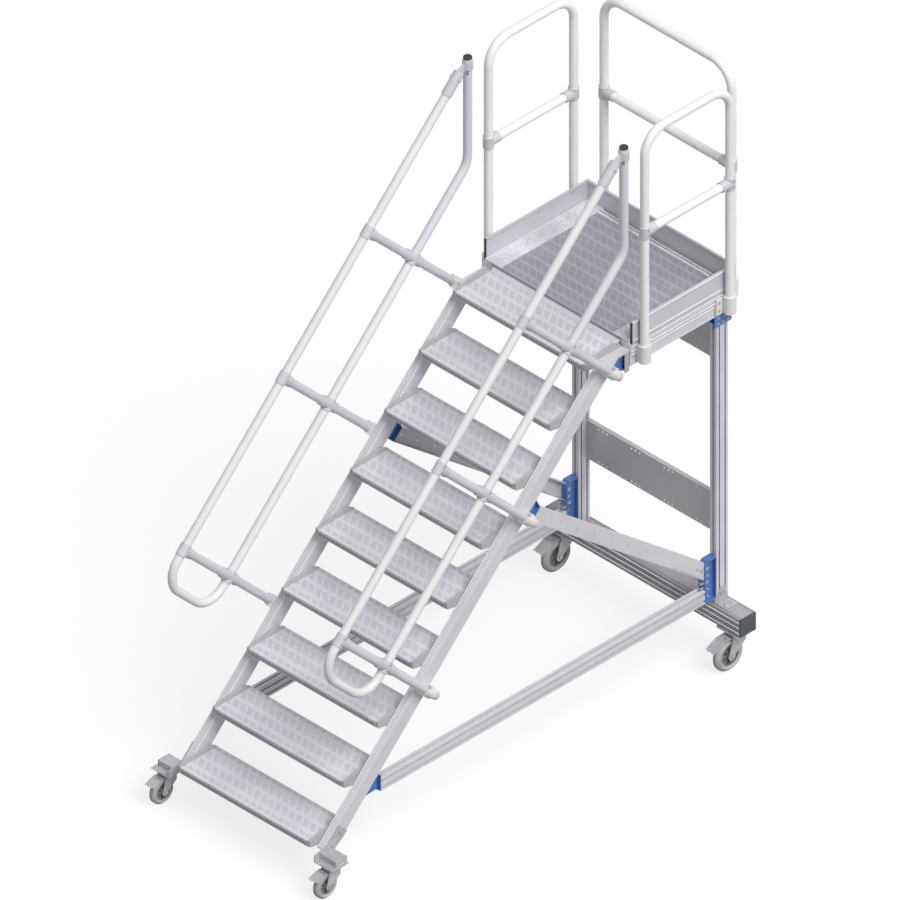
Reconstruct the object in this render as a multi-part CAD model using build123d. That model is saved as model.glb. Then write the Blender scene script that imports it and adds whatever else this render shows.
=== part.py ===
import os
from math import sqrt

from build123d import *

os.makedirs("parts", exist_ok=True)

# Mobile platform stairs. x runs along the treads, y from the first tread back to the platform, z up.
# The first nosing is y zero while the pieces are made, and everything moves to the middle at the end.
# All lengths are millimetres.

# Climb
tread_count = 9
tread_rise = 206
tread_going = 206
first_tread_height = 233
tread_length = 760
tread_depth = 222
tread_sheet = 3
nosing_height = 30
nosing_return = 12
tread_back_height = 42
tread_rib_height = 14
tread_rib_wall = 4
tread_rib_shares = (0.3, 0.52, 0.74)

# End plates of the treads
end_plate_wall = 14
end_plate_rise = 25
end_plate_drop = 44
end_plate_lead = 2
end_plate_peak_share = 0.78
end_plate_toe_share = 0.3
end_plate_round = 6

# Slotted rail that the stringers, posts and lower beams are cut from
rail_width = 40
rail_depth = 70
rail_round = 2.5
slot_mouth = 8
slot_lip = 2
slot_chamber = 14
slot_depth = 7
slot_spread = 34
groove_width = 3
groove_depth = 1.5
groove_spread = 12
rail_wall = 2.5

# Stringers
stringer_drop = 63
stringer_foot = 4
stringer_cap_wall = 12
stringer_cap_drop = 8

# Platform
platform_gap = 7
platform_step = 30
platform_length = 626
platform_beam_width = 60
platform_beam_height = 111
platform_beam_wall = 4
platform_beam_lip = 16
platform_overhang = 6
platform_end_wall = 4
deck_rise = 12
deck_wall = 4
deck_rib_wall = 5
deck_rib_height = 24
deck_rib_count = 5
deck_border = 50
deck_planks = 3
deck_seam = 3
deck_seam_depth = 2
beam_panel_depth = 2
beam_panel_shares = ((0.05, 0.42), (0.48, 0.71), (0.77, 0.96))
flange_groove = 8
flange_groove_share = 0.4

# Toe boards
toe_height = 109
toe_wall = 10
toe_overhang = 3
toe_bead = 8
toe_bead_depth = 2
toe_line = 4
toe_line_depth = 1.5
toe_line_drops = (10, 18, 88)
toe_front_inset = 12
toe_cap_wall = 5

# Base beam across the rear
beam_length = 1168
beam_width = 95
beam_height = 92
beam_wall = 4
beam_round = 3
beam_rib_width = 5
beam_rib_depth = 2.5
beam_rib_shares = (0.08, 0.36, 0.64, 0.92)
beam_groove_insets = (6, 14)
beam_cap_wall = 6
beam_cap_round = 5
beam_cap_edge = 2

# Rear posts and what ties them
post_setback = 67
lower_beam_rise = 35
cross_plate_height = 197
cross_plate_wall = 3
cross_plate_flange = 18
cross_plate_setback = 16
middle_plate_rise = 325
upper_plate_drop = 81
cross_hole = 4
cross_hole_pitch = 24
cross_hole_count = 3
cross_hole_inset = 14
cross_hole_groups = 4

# Foot gussets outboard of the posts
foot_wall = 4
foot_height = 80
foot_reach = 60
foot_top_share = 0.55
foot_hole = 5
foot_hole_up = 53
foot_hole_out = 40
foot_leg_spread = 17.5
foot_toe_spread = 35

# Blue connectors
gusset_wall = 4
gusset_reach = 69
gusset_height = 212
gusset_corner = 20
gusset_hole = 8
gusset_hole_rows = 6
sill_gap = 44
sill_peak = 27
sill_leg_over = 14
sill_toe = 24
sill_notch = (33, 27)
brace_seat_length = 72
brace_seat_depth = 50
post_head_height = 58
post_head_reach = 62
post_saddle_over = 16
top_seat_reach = 96
top_seat_height = 96
connector_hole = 9
connector_hole_share = 0.33

# Diagonal braces
brace_width = 30
brace_depth = 72
brace_wall = 3
brace_top_along = 1684
brace_foot_drop = 45
brace_hole = 4
brace_hole_pitch = 118

# Round tube of the rails
tube_radius = 20
tube_wall = 2
bend_radius = 115
tube_fit = 0.2
joint_wall = 4
joint_length = 56
joint_reach = 34

# Guard rails
guard_stand = 28.5
guard_height = 1065
guard_mid_height = 562
guard_post_drop = 101
guard_clamp_height = 86
guard_clamp_wall = 8
guard_clamp_ear = 44
guard_wing_reach = 62
guard_wing_wall = 12
guard_wing_height = 78
side_guard_front = 59
side_guard_length = 511
back_guard_half = 383
back_guard_stand = 41

# Handrails
hand_top = 654
hand_mid = 270
hand_start = 642
hand_end_gap = 125
hand_end_height = 1059
hand_joint_length = 150
hand_joint_gap = 14
hand_tongue = 12
hand_tongue_width = 34
hand_eye_drop = 34
hand_eye_length = 44
plug_height = 9
plug_skirt = 16
plug_fit = 0.3
bracket_along = (806, 1649, 2365)
bracket_end = 160
bracket_clamp_length = 62
bracket_clamp_width = 58

# Castor seats at the front
seat_wall = 5
seat_half = 52
seat_length = 100
seat_web_height = 36
seat_step = 34
seat_box_height = 32
seat_box_inset = 12
seat_tab_length = 100
seat_tab_start = 24

# Castors: wheel radius, wheel width, height, trail, swivel radius, pedal reach
front_wheel_radius = 62.5
front_wheel_width = 36
front_castor_height = 155
front_trail = 40
front_crown_radius = 33
front_pedal_reach = 112
front_pedal_drop = 20
front_castor_x = 491
front_castor_y = 36
rear_wheel_radius = 80
rear_wheel_width = 40
rear_castor_height = 194
rear_trail = 50
rear_crown_radius = 38
rear_pedal_reach = 156
rear_pedal_drop = 34
rear_castor_inset = 68
castor_plate_wall = 5
front_plate_half = (50, 42)
rear_plate_half = (66, 56)
castor_plate_round = 8
castor_hole_radius = 4.5
front_plate_hole = (40, 30)
rear_plate_hole = (52, 37)
race_height = 8
race_gap = 1
crown_wall = 6
king_radius = 6
king_head_radius = 10
king_head_height = 4
running_fit = 0.05
fork_wall = 3.5
fork_gap = 5
fork_boss_share = 0.25
fork_shoulder_share = 0.9
fork_back_share = 0.85
axle_radius = 5
axle_head_radius = 8
axle_head_height = 5
hub_radius = 14
hub_gap = 1
hub_web = 8
rim_wall = 7
tyre_share = 0.34
tyre_round_share = 0.42
tyre_edge_share = 0.66
pedal_wall = 3
pedal_half = 28
pedal_knee_share = 0.5
pedal_pivot_radius = 5
pedal_side_fit = 0.3
pedal_notch = 5
pedal_tooth_share = 0.67

overrun = 20

# Derived places
top_nosing_y = (tread_count - 1) * tread_going
top_nosing_z = first_tread_height + (tread_count - 1) * tread_rise
climb = sqrt(tread_going**2 + tread_rise**2)
slope_y = tread_going / climb
slope_z = tread_rise / climb
platform_front = top_nosing_y + tread_depth + platform_gap
platform_back = platform_front + platform_length
platform_top = top_nosing_z + platform_step
platform_beam_top = platform_top - deck_rise
platform_beam_bottom = platform_beam_top - platform_beam_height
rail_inner = tread_length / 2 + end_plate_wall
rail_outer = rail_inner + rail_width
rail_middle = rail_inner + rail_width / 2
deck_side = rail_outer + platform_overhang
post_y = platform_back - post_setback
post_front = post_y - rail_depth / 2
beam_top = rear_castor_height + beam_height
rear_castor_x = beam_length / 2 - rear_castor_inset
lower_beam_bottom = beam_top + lower_beam_rise
rail_plane = deck_side + guard_stand
back_plane = platform_back + back_guard_stand
front_post_y = platform_front + side_guard_front
hand_end_y = front_post_y - hand_end_gap
hole_reach = rail_width + overrun


def on_slope(along, out):
    """Place in the side view, along the nosing line and square out from it."""
    y = along * slope_y - out * slope_z
    z = first_tread_height + along * slope_z + out * slope_y
    return (y, z)


def side_face(points):
    """Face in the side view from y and z places, at x zero."""
    return Plane.YZ * make_face(Polyline(*points, close=True))


def side_slab(points, low, high):
    """Slab with its outline in the side view, between two x places."""
    return Pos(low, 0, 0) * extrude(side_face(points), high - low, dir=(1, 0, 0))


def box_between(low, high):
    """Block from its low corner to its high corner."""
    size = [b - a for a, b in zip(low, high)]
    middle = [(a + b) / 2 for a, b in zip(low, high)]
    return Pos(*middle) * Box(*size)


def cross_rod(radius, y, z, low, high):
    """Rod along x at a place in the side view."""
    return Plane((low, y, z), z_dir=(1, 0, 0)) * Cylinder(
        radius, high - low, align=(Align.CENTER, Align.CENTER, Align.MIN)
    )


def mirrored(shape):
    """The same piece on the other side of the stairs."""
    return mirror(shape, about=Plane.YZ)


def pair(shape):
    """Both sides of a piece as separate solids."""
    return [shape, mirrored(shape)]


def slot_shape():
    """T slot that opens along local plus x, with the mouth at the origin."""
    mouth = Pos(-slot_lip, 0) * Rectangle(slot_lip * 2, slot_mouth)
    chamber = Pos(-(slot_lip + slot_depth) / 2, 0) * Rectangle(slot_depth - slot_lip, slot_chamber)
    return mouth + chamber


def rail_section(slotted):
    """Section of a rail: local x is its width, local y its depth, slotted all round or grooved on its edges."""
    section = RectangleRounded(rail_width, rail_depth, rail_round)
    for side in (1, -1):
        if slotted:
            section -= Pos(0, side * rail_depth / 2) * Rot(0, 0, side * 90) * slot_shape()
        for place in (1, -1):
            if slotted:
                spot = Pos(side * rail_width / 2, place * slot_spread / 2)
                slot = spot * Rot(0, 0, 90 - side * 90) * slot_shape()
            else:
                spot = Pos(place * groove_spread / 2, side * rail_depth / 2)
                slot = spot * Rectangle(groove_width, 2 * groove_depth)
            section -= slot
    core_width = rail_width - 2 * slot_depth - 2 * rail_wall
    core_depth = rail_depth - 2 * slot_depth - 2 * rail_wall
    section -= RectangleRounded(core_width, core_depth, rail_round)
    return section


def rail(start, end, x, slotted=True):
    """Rail between two places in the side view, its width across the stairs."""
    start_point = Vector(x, *start)
    run = Vector(x, *end) - start_point
    plane = Plane(start_point, x_dir=(1, 0, 0), z_dir=run.normalized())
    return extrude(plane * rail_section(slotted), run.length, dir=run.normalized())


def round_tube(points, bends=True):
    """Hollow tube along a route with one bend radius."""
    route = FilletPolyline(*points, radius=bend_radius) if bends else Polyline(*points)
    ring = Circle(tube_radius) - Circle(tube_radius - tube_wall)
    return sweep(Plane(route @ 0, z_dir=route % 0) * ring, path=route)


def rod_between(start, end, radius):
    """Solid rod between two points."""
    run = Vector(*end) - Vector(*start)
    plane = Plane(start, z_dir=run.normalized())
    return plane * Cylinder(radius, run.length, align=(Align.CENTER, Align.CENTER, Align.MIN))


def tee(centre, through, branches):
    """Cast joint: a sleeve on the through tube with a socket for each branch."""
    half = Vector(*through).normalized() * (joint_length / 2)
    centre = Vector(*centre)
    outer = tube_radius + tube_fit + joint_wall
    inner = tube_radius + tube_fit
    body = rod_between(centre - half, centre + half, outer)
    for branch in branches:
        way = Vector(*branch).normalized()
        body += rod_between(centre, centre + way * (outer + joint_reach), outer)
    far = Vector(*through).normalized() * (joint_length / 2 + overrun)
    body -= rod_between(centre - far, centre + far, inner)
    for branch in branches:
        way = Vector(*branch).normalized()
        body -= rod_between(centre, centre + way * (outer + joint_reach + overrun), inner)
    return body


pieces = {}

# Treads: folded tread with a nosing, a back lip and ribs below, repeated up the slope
tread_outline = [
    (0, 0),
    (tread_depth, 0),
    (tread_depth, -tread_back_height),
    (tread_depth - nosing_return, -tread_back_height),
    (tread_depth - nosing_return, tread_sheet - tread_back_height),
    (tread_depth - tread_sheet, tread_sheet - tread_back_height),
    (tread_depth - tread_sheet, -tread_sheet),
    (tread_sheet, -tread_sheet),
    (tread_sheet, tread_sheet - nosing_height),
    (nosing_return, tread_sheet - nosing_height),
    (nosing_return, -nosing_height),
    (0, -nosing_height),
]
tread = side_slab(tread_outline, -tread_length / 2, tread_length / 2)
for share in tread_rib_shares:
    place = tread_depth * share
    rib = box_between(
        (-tread_length / 2, place - tread_rib_wall / 2, -tread_sheet - tread_rib_height),
        (tread_length / 2, place + tread_rib_wall / 2, -tread_sheet),
    )
    tread += rib

end_outline = [
    (0, -nosing_height),
    (0, end_plate_lead),
    (tread_depth * end_plate_peak_share, end_plate_rise),
    (tread_depth, end_plate_lead),
    (tread_depth, -end_plate_drop),
    (tread_depth * end_plate_toe_share, -end_plate_drop),
]
end_plate = side_slab(end_outline, tread_length / 2, rail_inner)
end_plate = fillet(end_plate.edges().filter_by(Axis.X), end_plate_round)

treads = []
end_plates = []
for step in range(tread_count):
    place = Pos(0, step * tread_going, first_tread_height + step * tread_rise)
    treads.append(place * tread)
    end_plates += [place * solid for solid in pair(end_plate)]
pieces["treads"] = treads
pieces["tread_end_plates"] = end_plates

# Stringers, cut level at the top and square at the foot
stringer_line = -stringer_drop - rail_depth / 2
stringer_top_z = top_nosing_z - stringer_cap_drop - stringer_cap_wall
stringer_over = (platform_front + platform_top) / slope_z
stringer_start = on_slope(-stringer_foot, stringer_line)
stringer = rail(stringer_start, on_slope(stringer_over, stringer_line), rail_middle, False)
stringer -= box_between(
    (rail_inner - overrun, 0, stringer_top_z),
    (rail_outer + overrun, 2 * platform_back, 2 * stringer_over),
)
pieces["stringer_right"] = [stringer]
pieces["stringer_left"] = [mirrored(stringer)]

# Cap on the level cut, reaching the platform's front beam
cap_front_y = (stringer_top_z - first_tread_height) * slope_y / slope_z + stringer_drop / slope_z
stringer_cap = box_between(
    (rail_inner, cap_front_y, stringer_top_z),
    (rail_outer, platform_front, stringer_top_z + stringer_cap_wall),
)
stringer_cap = chamfer(stringer_cap.edges().filter_by(Axis.X).group_by(Axis.Y)[0][-1], stringer_cap_wall / 2)
pieces["stringer_caps"] = pair(stringer_cap)

# Posts from the base beam to the platform
post = rail((post_y, beam_top), (post_y, platform_beam_bottom), rail_middle)
pieces["rear_posts"] = pair(post)

# Lower side beams, from the sill brackets behind the stringers to the base gussets
stringer_back = -stringer_drop - rail_depth
back_foot = on_slope(0, stringer_back)
lower_middle = lower_beam_bottom + rail_depth / 2
lower_beam_top = lower_beam_bottom + rail_depth
gusset_face = post_front - gusset_reach


def behind_stringer(z):
    """Where the stringer's back is at a height, as y."""
    return back_foot[0] + (z - back_foot[1]) * slope_y / slope_z


sill_face_y = behind_stringer(lower_beam_top) + sill_gap
lower_beam = rail((sill_face_y, lower_middle), (gusset_face, lower_middle), rail_middle)
pieces["lower_side_beams"] = pair(lower_beam)

# Base beam with ribs along its faces
beam_low = rear_castor_height
beam_section = RectangleRounded(beam_width, beam_height, beam_round)
beam_section -= RectangleRounded(beam_width - 2 * beam_wall, beam_height - 2 * beam_wall, beam_round)
for share in beam_rib_shares[:-1]:
    next_share = beam_rib_shares[beam_rib_shares.index(share) + 1]
    low = -beam_height / 2 + beam_height * share + beam_rib_width / 2
    high = -beam_height / 2 + beam_height * next_share - beam_rib_width / 2
    for side in (1, -1):
        beam_section -= Pos(side * beam_width / 2, (low + high) / 2) * Rectangle(2 * beam_rib_depth, high - low)
for inset in beam_groove_insets:
    for side in (1, -1):
        spot = Pos(side * (beam_width / 2 - inset), beam_height / 2)
        beam_section -= spot * Rectangle(groove_width, 2 * groove_depth)
beam_plane = Plane((-beam_length / 2, post_y, beam_low + beam_height / 2), x_dir=(0, 1, 0), z_dir=(1, 0, 0))
base_beam = extrude(beam_plane * beam_section, beam_length, dir=(1, 0, 0))
for side in (1, -1):
    for x_side in (1, -1):
        for y_side in (1, -1):
            base_beam -= Pos(
                side * rear_castor_x + x_side * rear_plate_hole[0], post_y + y_side * rear_plate_hole[1], beam_low
            ) * Cylinder(castor_hole_radius, overrun)
pieces["base_beam"] = [base_beam]
cap_plane = Plane((beam_length / 2, post_y, beam_low + beam_height / 2), x_dir=(0, 1, 0), z_dir=(1, 0, 0))
beam_cap_face = cap_plane * RectangleRounded(beam_width, beam_height, beam_cap_round)
beam_cap = extrude(beam_cap_face, beam_cap_wall, dir=(1, 0, 0))
beam_cap = fillet(beam_cap.faces().sort_by(Axis.X)[-1].edges(), beam_cap_edge)
pieces["base_end_caps"] = pair(beam_cap)

# Cross plates between the posts, flanged and pierced
plate_half = rail_inner
plate_front = post_y + cross_plate_setback - cross_plate_flange


def cross_plate(low):
    """Flanged plate across the posts, pierced in groups along both edges."""
    high = low + cross_plate_height
    front = plate_front + cross_plate_flange - cross_plate_wall
    back = plate_front + cross_plate_flange
    plate = box_between((-plate_half, front, low), (plate_half, back, high))
    for edge in (low, high - cross_plate_wall):
        plate += box_between(
            (-plate_half, back, edge), (plate_half, back + cross_plate_flange, edge + cross_plate_wall)
        )
    span = 2 * plate_half / cross_hole_groups
    for group in range(cross_hole_groups):
        centre = span * group + span / 2 - plate_half
        for hole in range(cross_hole_count):
            x = centre + (hole - (cross_hole_count - 1) / 2) * cross_hole_pitch
            for z in (low + cross_hole_inset, high - cross_hole_inset):
                plate -= Plane((x, front - overrun, z), z_dir=(0, 1, 0)) * Cylinder(
                    cross_hole / 2, 2 * overrun, align=(Align.CENTER, Align.CENTER, Align.MIN)
                )
    return plate


pieces["cross_plates"] = [
    cross_plate(beam_top + middle_plate_rise),
    cross_plate(platform_beam_bottom - upper_plate_drop - cross_plate_height),
]

# Steel foot gussets outboard of the posts
foot_low = post_y - rail_depth / 2
foot_leg = extrude(
    Plane((rail_outer, post_y, beam_top), x_dir=(0, 1, 0), z_dir=(1, 0, 0))
    * make_face(
        Polyline(
            (-rail_depth / 2, 0),
            (rail_depth / 2, 0),
            (rail_depth / 2 * foot_top_share, foot_height),
            (-rail_depth / 2 * foot_top_share, foot_height),
            close=True,
        )
    ),
    foot_wall,
    dir=(1, 0, 0),
)
foot = foot_leg + box_between(
    (rail_outer, foot_low, beam_top), (rail_outer + foot_reach, foot_low + rail_depth, beam_top + foot_wall)
)
for side in (1, -1):
    toe_y = post_y + side * foot_toe_spread / 2
    leg_y = post_y + side * foot_leg_spread / 2
    foot -= Pos(rail_outer + foot_hole_out, toe_y, beam_top) * Cylinder(foot_hole, overrun)
    foot -= cross_rod(foot_hole, leg_y, beam_top + foot_hole_up, rail_inner, rail_outer + hole_reach)
pieces["foot_gussets"] = pair(foot)

# Blue base gussets: a pierced box bracket between the lower beam, the brace and the post
base_gusset = box_between(
    (rail_inner, gusset_face, lower_beam_bottom),
    (rail_outer, post_front, lower_beam_bottom + gusset_height),
)
gusset_edge = base_gusset.edges().filter_by(Axis.X).group_by(Axis.Z)[-1].sort_by(Axis.Y)[0]
base_gusset = chamfer(gusset_edge, gusset_corner)
for side in (1, -1):
    pocket_low = rail_middle + side * (gusset_wall / 2)
    pocket_high = rail_middle + side * (rail_width / 2 + overrun)
    pocket = box_between(
        (
            min(pocket_low, pocket_high),
            gusset_face + gusset_wall,
            lower_beam_bottom + gusset_wall,
        ),
        (
            max(pocket_low, pocket_high),
            post_front - gusset_wall,
            lower_beam_bottom + gusset_height - gusset_wall,
        ),
    )
    pocket_corner = pocket.edges().filter_by(Axis.X).group_by(Axis.Z)[-1].sort_by(Axis.Y)[0]
    pocket = chamfer(pocket_corner, gusset_corner - gusset_wall)
    base_gusset -= pocket
gusset_pitch = gusset_height / gusset_hole_rows
for row in range(gusset_hole_rows - 1):
    z = lower_beam_bottom + gusset_pitch * row + gusset_pitch / 2
    hole_y = post_front - gusset_reach / 2
    base_gusset -= cross_rod(gusset_hole, hole_y, z, rail_inner - overrun, rail_outer + overrun)
pieces["base_gussets"] = pair(base_gusset)


def wedge_bracket(outline, holes):
    """Blue corner bracket: flanges around a middle web, pierced at the given places."""
    body = side_slab(outline, rail_inner, rail_outer)
    inner = offset(side_face(outline), -gusset_wall)
    for side in (1, -1):
        start = rail_middle + side * gusset_wall / 2
        body -= Pos(start, 0, 0) * extrude(inner, hole_reach, dir=(side, 0, 0))
    for place in holes:
        body -= cross_rod(connector_hole, place[0], place[1], rail_inner - overrun, rail_outer + overrun)
    return body


# Blue sill brackets between the stringers' backs and the ends of the lower beams
sill_peak_z = lower_beam_top + sill_peak
sill_toe_z = lower_beam_bottom + sill_toe
sill_outline = [
    (sill_face_y, lower_beam_bottom),
    (sill_face_y, lower_beam_top + sill_leg_over),
    (behind_stringer(sill_peak_z), sill_peak_z),
    (behind_stringer(sill_toe_z), sill_toe_z),
    (sill_face_y - sill_notch[0], lower_beam_bottom + sill_notch[1]),
]
sill_hole_z = lower_beam_top - 2 * connector_hole
sill_hole = ((behind_stringer(sill_hole_z) + sill_face_y) / 2, sill_hole_z)
pieces["sill_brackets"] = pair(wedge_bracket(sill_outline, [sill_hole]))

# Blue brace seats on the back of the stringers
brace_top_out = stringer_back - brace_seat_depth
brace_low = brace_top_along - brace_seat_length / 2
brace_high = brace_top_along + brace_seat_length / 2
seat_inset = brace_seat_depth * slope_y / 2
seat_outline = [
    on_slope(brace_low, stringer_back),
    on_slope(brace_high + seat_inset, stringer_back),
    on_slope(brace_high, brace_top_out),
    on_slope(brace_low, brace_top_out),
]
seat_middle = on_slope(brace_top_along, (stringer_back + brace_top_out) / 2)
pieces["brace_seats"] = pair(wedge_bracket(seat_outline, [seat_middle]))

# Diagonal braces: flanged planks from the seats down to the base gussets
brace_start = on_slope(brace_top_along, brace_top_out)
gusset_top = lower_beam_bottom + gusset_height
brace_end = (gusset_face, gusset_top - brace_foot_drop)
brace_run = Vector(0, brace_end[0] - brace_start[0], brace_end[1] - brace_start[1])
brace_way = brace_run.normalized()
brace_plane = Plane((rail_middle, *brace_start), x_dir=(1, 0, 0), z_dir=brace_way)
brace_section = RectangleRounded(brace_width, brace_depth, brace_wall / 2)
brace_section -= Pos(-brace_wall, 0) * Rectangle(brace_width, brace_depth - 2 * brace_wall)
brace = extrude(
    Plane(brace_plane.origin - brace_way * brace_depth, x_dir=(1, 0, 0), z_dir=brace_way) * brace_section,
    brace_run.length + 2 * brace_depth,
    dir=brace_way,
)
brace -= side_slab(
    [
        on_slope(0, brace_top_out),
        on_slope(2 * brace_top_along, brace_top_out),
        on_slope(2 * brace_top_along, platform_top),
        on_slope(0, platform_top),
    ],
    rail_inner - overrun,
    rail_outer + overrun,
)
brace -= box_between(
    (rail_inner - overrun, gusset_face, 0),
    (rail_outer + overrun, platform_back, platform_top),
)
brace -= box_between(
    (rail_inner - overrun, 0, 0),
    (rail_outer + overrun, platform_back, lower_beam_top),
)
hole_count = int(brace_run.length // brace_hole_pitch)
for hole in range(hole_count):
    middle = brace_run * (hole / hole_count) + brace_run / (2 * hole_count) + Vector(rail_middle, *brace_start)
    brace -= cross_rod(brace_hole, middle.Y, middle.Z, rail_middle, rail_outer)
pieces["diagonal_braces"] = pair(brace)

# Blue heads wrapping the tops of the posts
head_outline = [
    (post_front - post_head_reach, platform_beam_bottom),
    (post_front, platform_beam_bottom),
    (post_front, platform_beam_bottom - post_head_height),
]
head_hole = (
    post_front - post_head_reach * connector_hole_share,
    platform_beam_bottom - post_head_height * connector_hole_share,
)
post_head = wedge_bracket(head_outline, [head_hole])
post_head += box_between(
    (rail_outer, post_front - post_saddle_over, platform_beam_bottom - post_head_height),
    (deck_side, post_front + rail_depth + post_saddle_over, platform_beam_bottom),
)
pieces["post_heads"] = pair(post_head)

# Blue seats between the stringers and the platform's front beam
stringer_back_y = (stringer_top_z - first_tread_height) * slope_y / slope_z + (stringer_drop + rail_depth) / slope_z
top_seat_low = stringer_top_z - top_seat_height
top_seat_outline = [
    (stringer_back_y, stringer_top_z),
    (platform_front, stringer_top_z),
    (platform_front, top_seat_low),
    (stringer_back_y - top_seat_reach / 2, stringer_top_z - top_seat_reach / 2 * slope_z / slope_y),
]
top_seat_hole = (
    (stringer_back_y + platform_front) / 2,
    stringer_top_z - top_seat_height * connector_hole_share,
)
pieces["platform_seats"] = pair(wedge_bracket(top_seat_outline, [top_seat_hole]))


# Platform beams: an open profile with ridges outside and a ledge inside that carries the deck
def platform_profile():
    """Section of a platform beam: local x points outward, local y up, the outer foot at the origin."""
    section = Pos(-platform_beam_wall / 2, platform_beam_height / 2) * Rectangle(
        platform_beam_wall, platform_beam_height
    )
    for level in (platform_beam_wall / 2, platform_beam_height - platform_beam_wall / 2):
        section += Pos(-platform_beam_width / 2, level) * Rectangle(platform_beam_width, platform_beam_wall)
    section += Pos(-platform_beam_width + platform_beam_wall / 2, platform_beam_lip / 2) * Rectangle(
        platform_beam_wall, platform_beam_lip
    )
    section += Pos(
        -platform_beam_width + platform_beam_wall / 2, platform_beam_height - platform_beam_lip / 2
    ) * Rectangle(platform_beam_wall, platform_beam_lip)
    for low_share, high_share in beam_panel_shares:
        panel = platform_beam_height * (high_share - low_share)
        section -= Pos(0, platform_beam_height * low_share + panel / 2) * Rectangle(2 * beam_panel_depth, panel)
    section -= Pos(-platform_beam_width * flange_groove_share, platform_beam_height) * Rectangle(
        flange_groove, 2 * beam_panel_depth
    )
    return section


side_beam_plane = Plane((deck_side, platform_front, platform_beam_bottom), x_dir=(1, 0, 0), z_dir=(0, -1, 0))
side_beam = extrude(side_beam_plane * platform_profile(), platform_length, dir=(0, 1, 0))
for end_y in (platform_front, platform_back - platform_end_wall):
    side_beam += box_between(
        (deck_side - platform_beam_width, end_y, platform_beam_bottom),
        (deck_side, end_y + platform_end_wall, platform_beam_top),
    )
pieces["platform_side_beams"] = pair(side_beam)
end_half = deck_side - platform_beam_width
front_plane = Plane((-end_half, platform_front, platform_beam_bottom), x_dir=(0, -1, 0), z_dir=(-1, 0, 0))
back_plane_ends = Plane((-end_half, platform_back, platform_beam_bottom), x_dir=(0, 1, 0), z_dir=(1, 0, 0))
pieces["platform_end_beams"] = [
    extrude(front_plane * platform_profile(), 2 * end_half, dir=(1, 0, 0)),
    extrude(back_plane_ends * platform_profile(), 2 * end_half, dir=(1, 0, 0)),
]

# Deck: a ribbed plate that stands a little above its beams
deck_half = deck_side - deck_border
deck_back = platform_back - deck_border
deck = box_between((-deck_half, platform_front, platform_beam_top), (deck_half, deck_back, platform_top))
deck -= box_between(
    (deck_wall - deck_half, platform_front + deck_wall, platform_beam_top - overrun),
    (deck_half - deck_wall, deck_back - deck_wall, platform_top - deck_wall),
)
for seam in range(1, deck_planks):
    seam_y = platform_front + (deck_back - platform_front) * seam / deck_planks
    deck -= box_between(
        (-deck_half - overrun, seam_y - deck_seam / 2, platform_top - deck_seam_depth),
        (deck_half + overrun, seam_y + deck_seam / 2, platform_top + overrun),
    )
rib_low = platform_top - deck_wall - deck_rib_height
rib_span = 2 * (end_half - deck_rib_wall)
rib_step = rib_span / deck_rib_count
for index in range(deck_rib_count):
    x = rib_step * index + rib_step / 2 - rib_span / 2
    deck += box_between(
        (x - deck_rib_wall / 2, platform_front + platform_beam_width, rib_low),
        (x + deck_rib_wall / 2, platform_back - platform_beam_width, platform_top - deck_wall),
    )
pieces["platform_deck"] = [deck]

# Toe boards with a beaded top edge
toe_low = platform_beam_top
toe_high = toe_low + toe_height


def toe_section():
    """Toe board section, beaded along its upper edge, local x outward."""
    section = Pos(-toe_wall / 2, toe_height / 2) * Rectangle(toe_wall, toe_height)
    section -= Pos(-toe_wall, toe_height - toe_bead * 2) * Rectangle(2 * toe_bead_depth, toe_bead)
    for line_drop in toe_line_drops:
        section -= Pos(0, toe_height - line_drop) * Rectangle(2 * toe_line_depth, toe_line)
    return section


side_toe_plane = Plane(
    (deck_side + toe_overhang, platform_front + toe_front_inset, toe_low), x_dir=(1, 0, 0), z_dir=(0, -1, 0)
)
side_toe = extrude(
    side_toe_plane * toe_section(), platform_length - toe_front_inset - toe_wall + toe_overhang, dir=(0, 1, 0)
)
back_toe_half = deck_side + toe_overhang
back_toe_plane = Plane((-back_toe_half, platform_back + toe_overhang, toe_low), x_dir=(0, 1, 0), z_dir=(1, 0, 0))
back_toe = extrude(back_toe_plane * toe_section(), 2 * back_toe_half, dir=(1, 0, 0))
pieces["toe_boards"] = [*pair(side_toe), back_toe]
toe_cap = box_between(
    (
        deck_side + toe_overhang - toe_wall,
        platform_front + toe_front_inset - toe_cap_wall,
        toe_low,
    ),
    (deck_side + toe_overhang, platform_front + toe_front_inset, toe_high),
)
toe_cap = fillet(toe_cap.edges().filter_by(Axis.X).group_by(Axis.Z)[-1].sort_by(Axis.Y)[0], toe_cap_wall / 2)
pieces["toe_board_caps"] = pair(toe_cap)

# Guard rails: three bent frames clamped to the platform beams
guard_low = platform_beam_top - guard_post_drop + toe_overhang
guard_top = platform_top + guard_height
guard_mid = platform_top + guard_mid_height
rear_post_y = front_post_y + side_guard_length
side_guard = round_tube(
    [
        (rail_plane, front_post_y, guard_low),
        (rail_plane, front_post_y, guard_top),
        (rail_plane, rear_post_y, guard_top),
        (rail_plane, rear_post_y, guard_low),
    ]
)
pieces["guard_rail_right"] = [side_guard]
pieces["guard_rail_left"] = [mirrored(side_guard)]
pieces["guard_rail_back"] = [
    round_tube(
        [
            (-back_guard_half, back_plane, guard_low),
            (-back_guard_half, back_plane, guard_top),
            (back_guard_half, back_plane, guard_top),
            (back_guard_half, back_plane, guard_low),
        ]
    )
]
stop = tube_radius + tube_fit
side_mid = round_tube([(rail_plane, front_post_y + stop, guard_mid), (rail_plane, rear_post_y - stop, guard_mid)], False)
back_mid = round_tube(
    [(stop - back_guard_half, back_plane, guard_mid), (back_guard_half - stop, back_plane, guard_mid)], False
)
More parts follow.
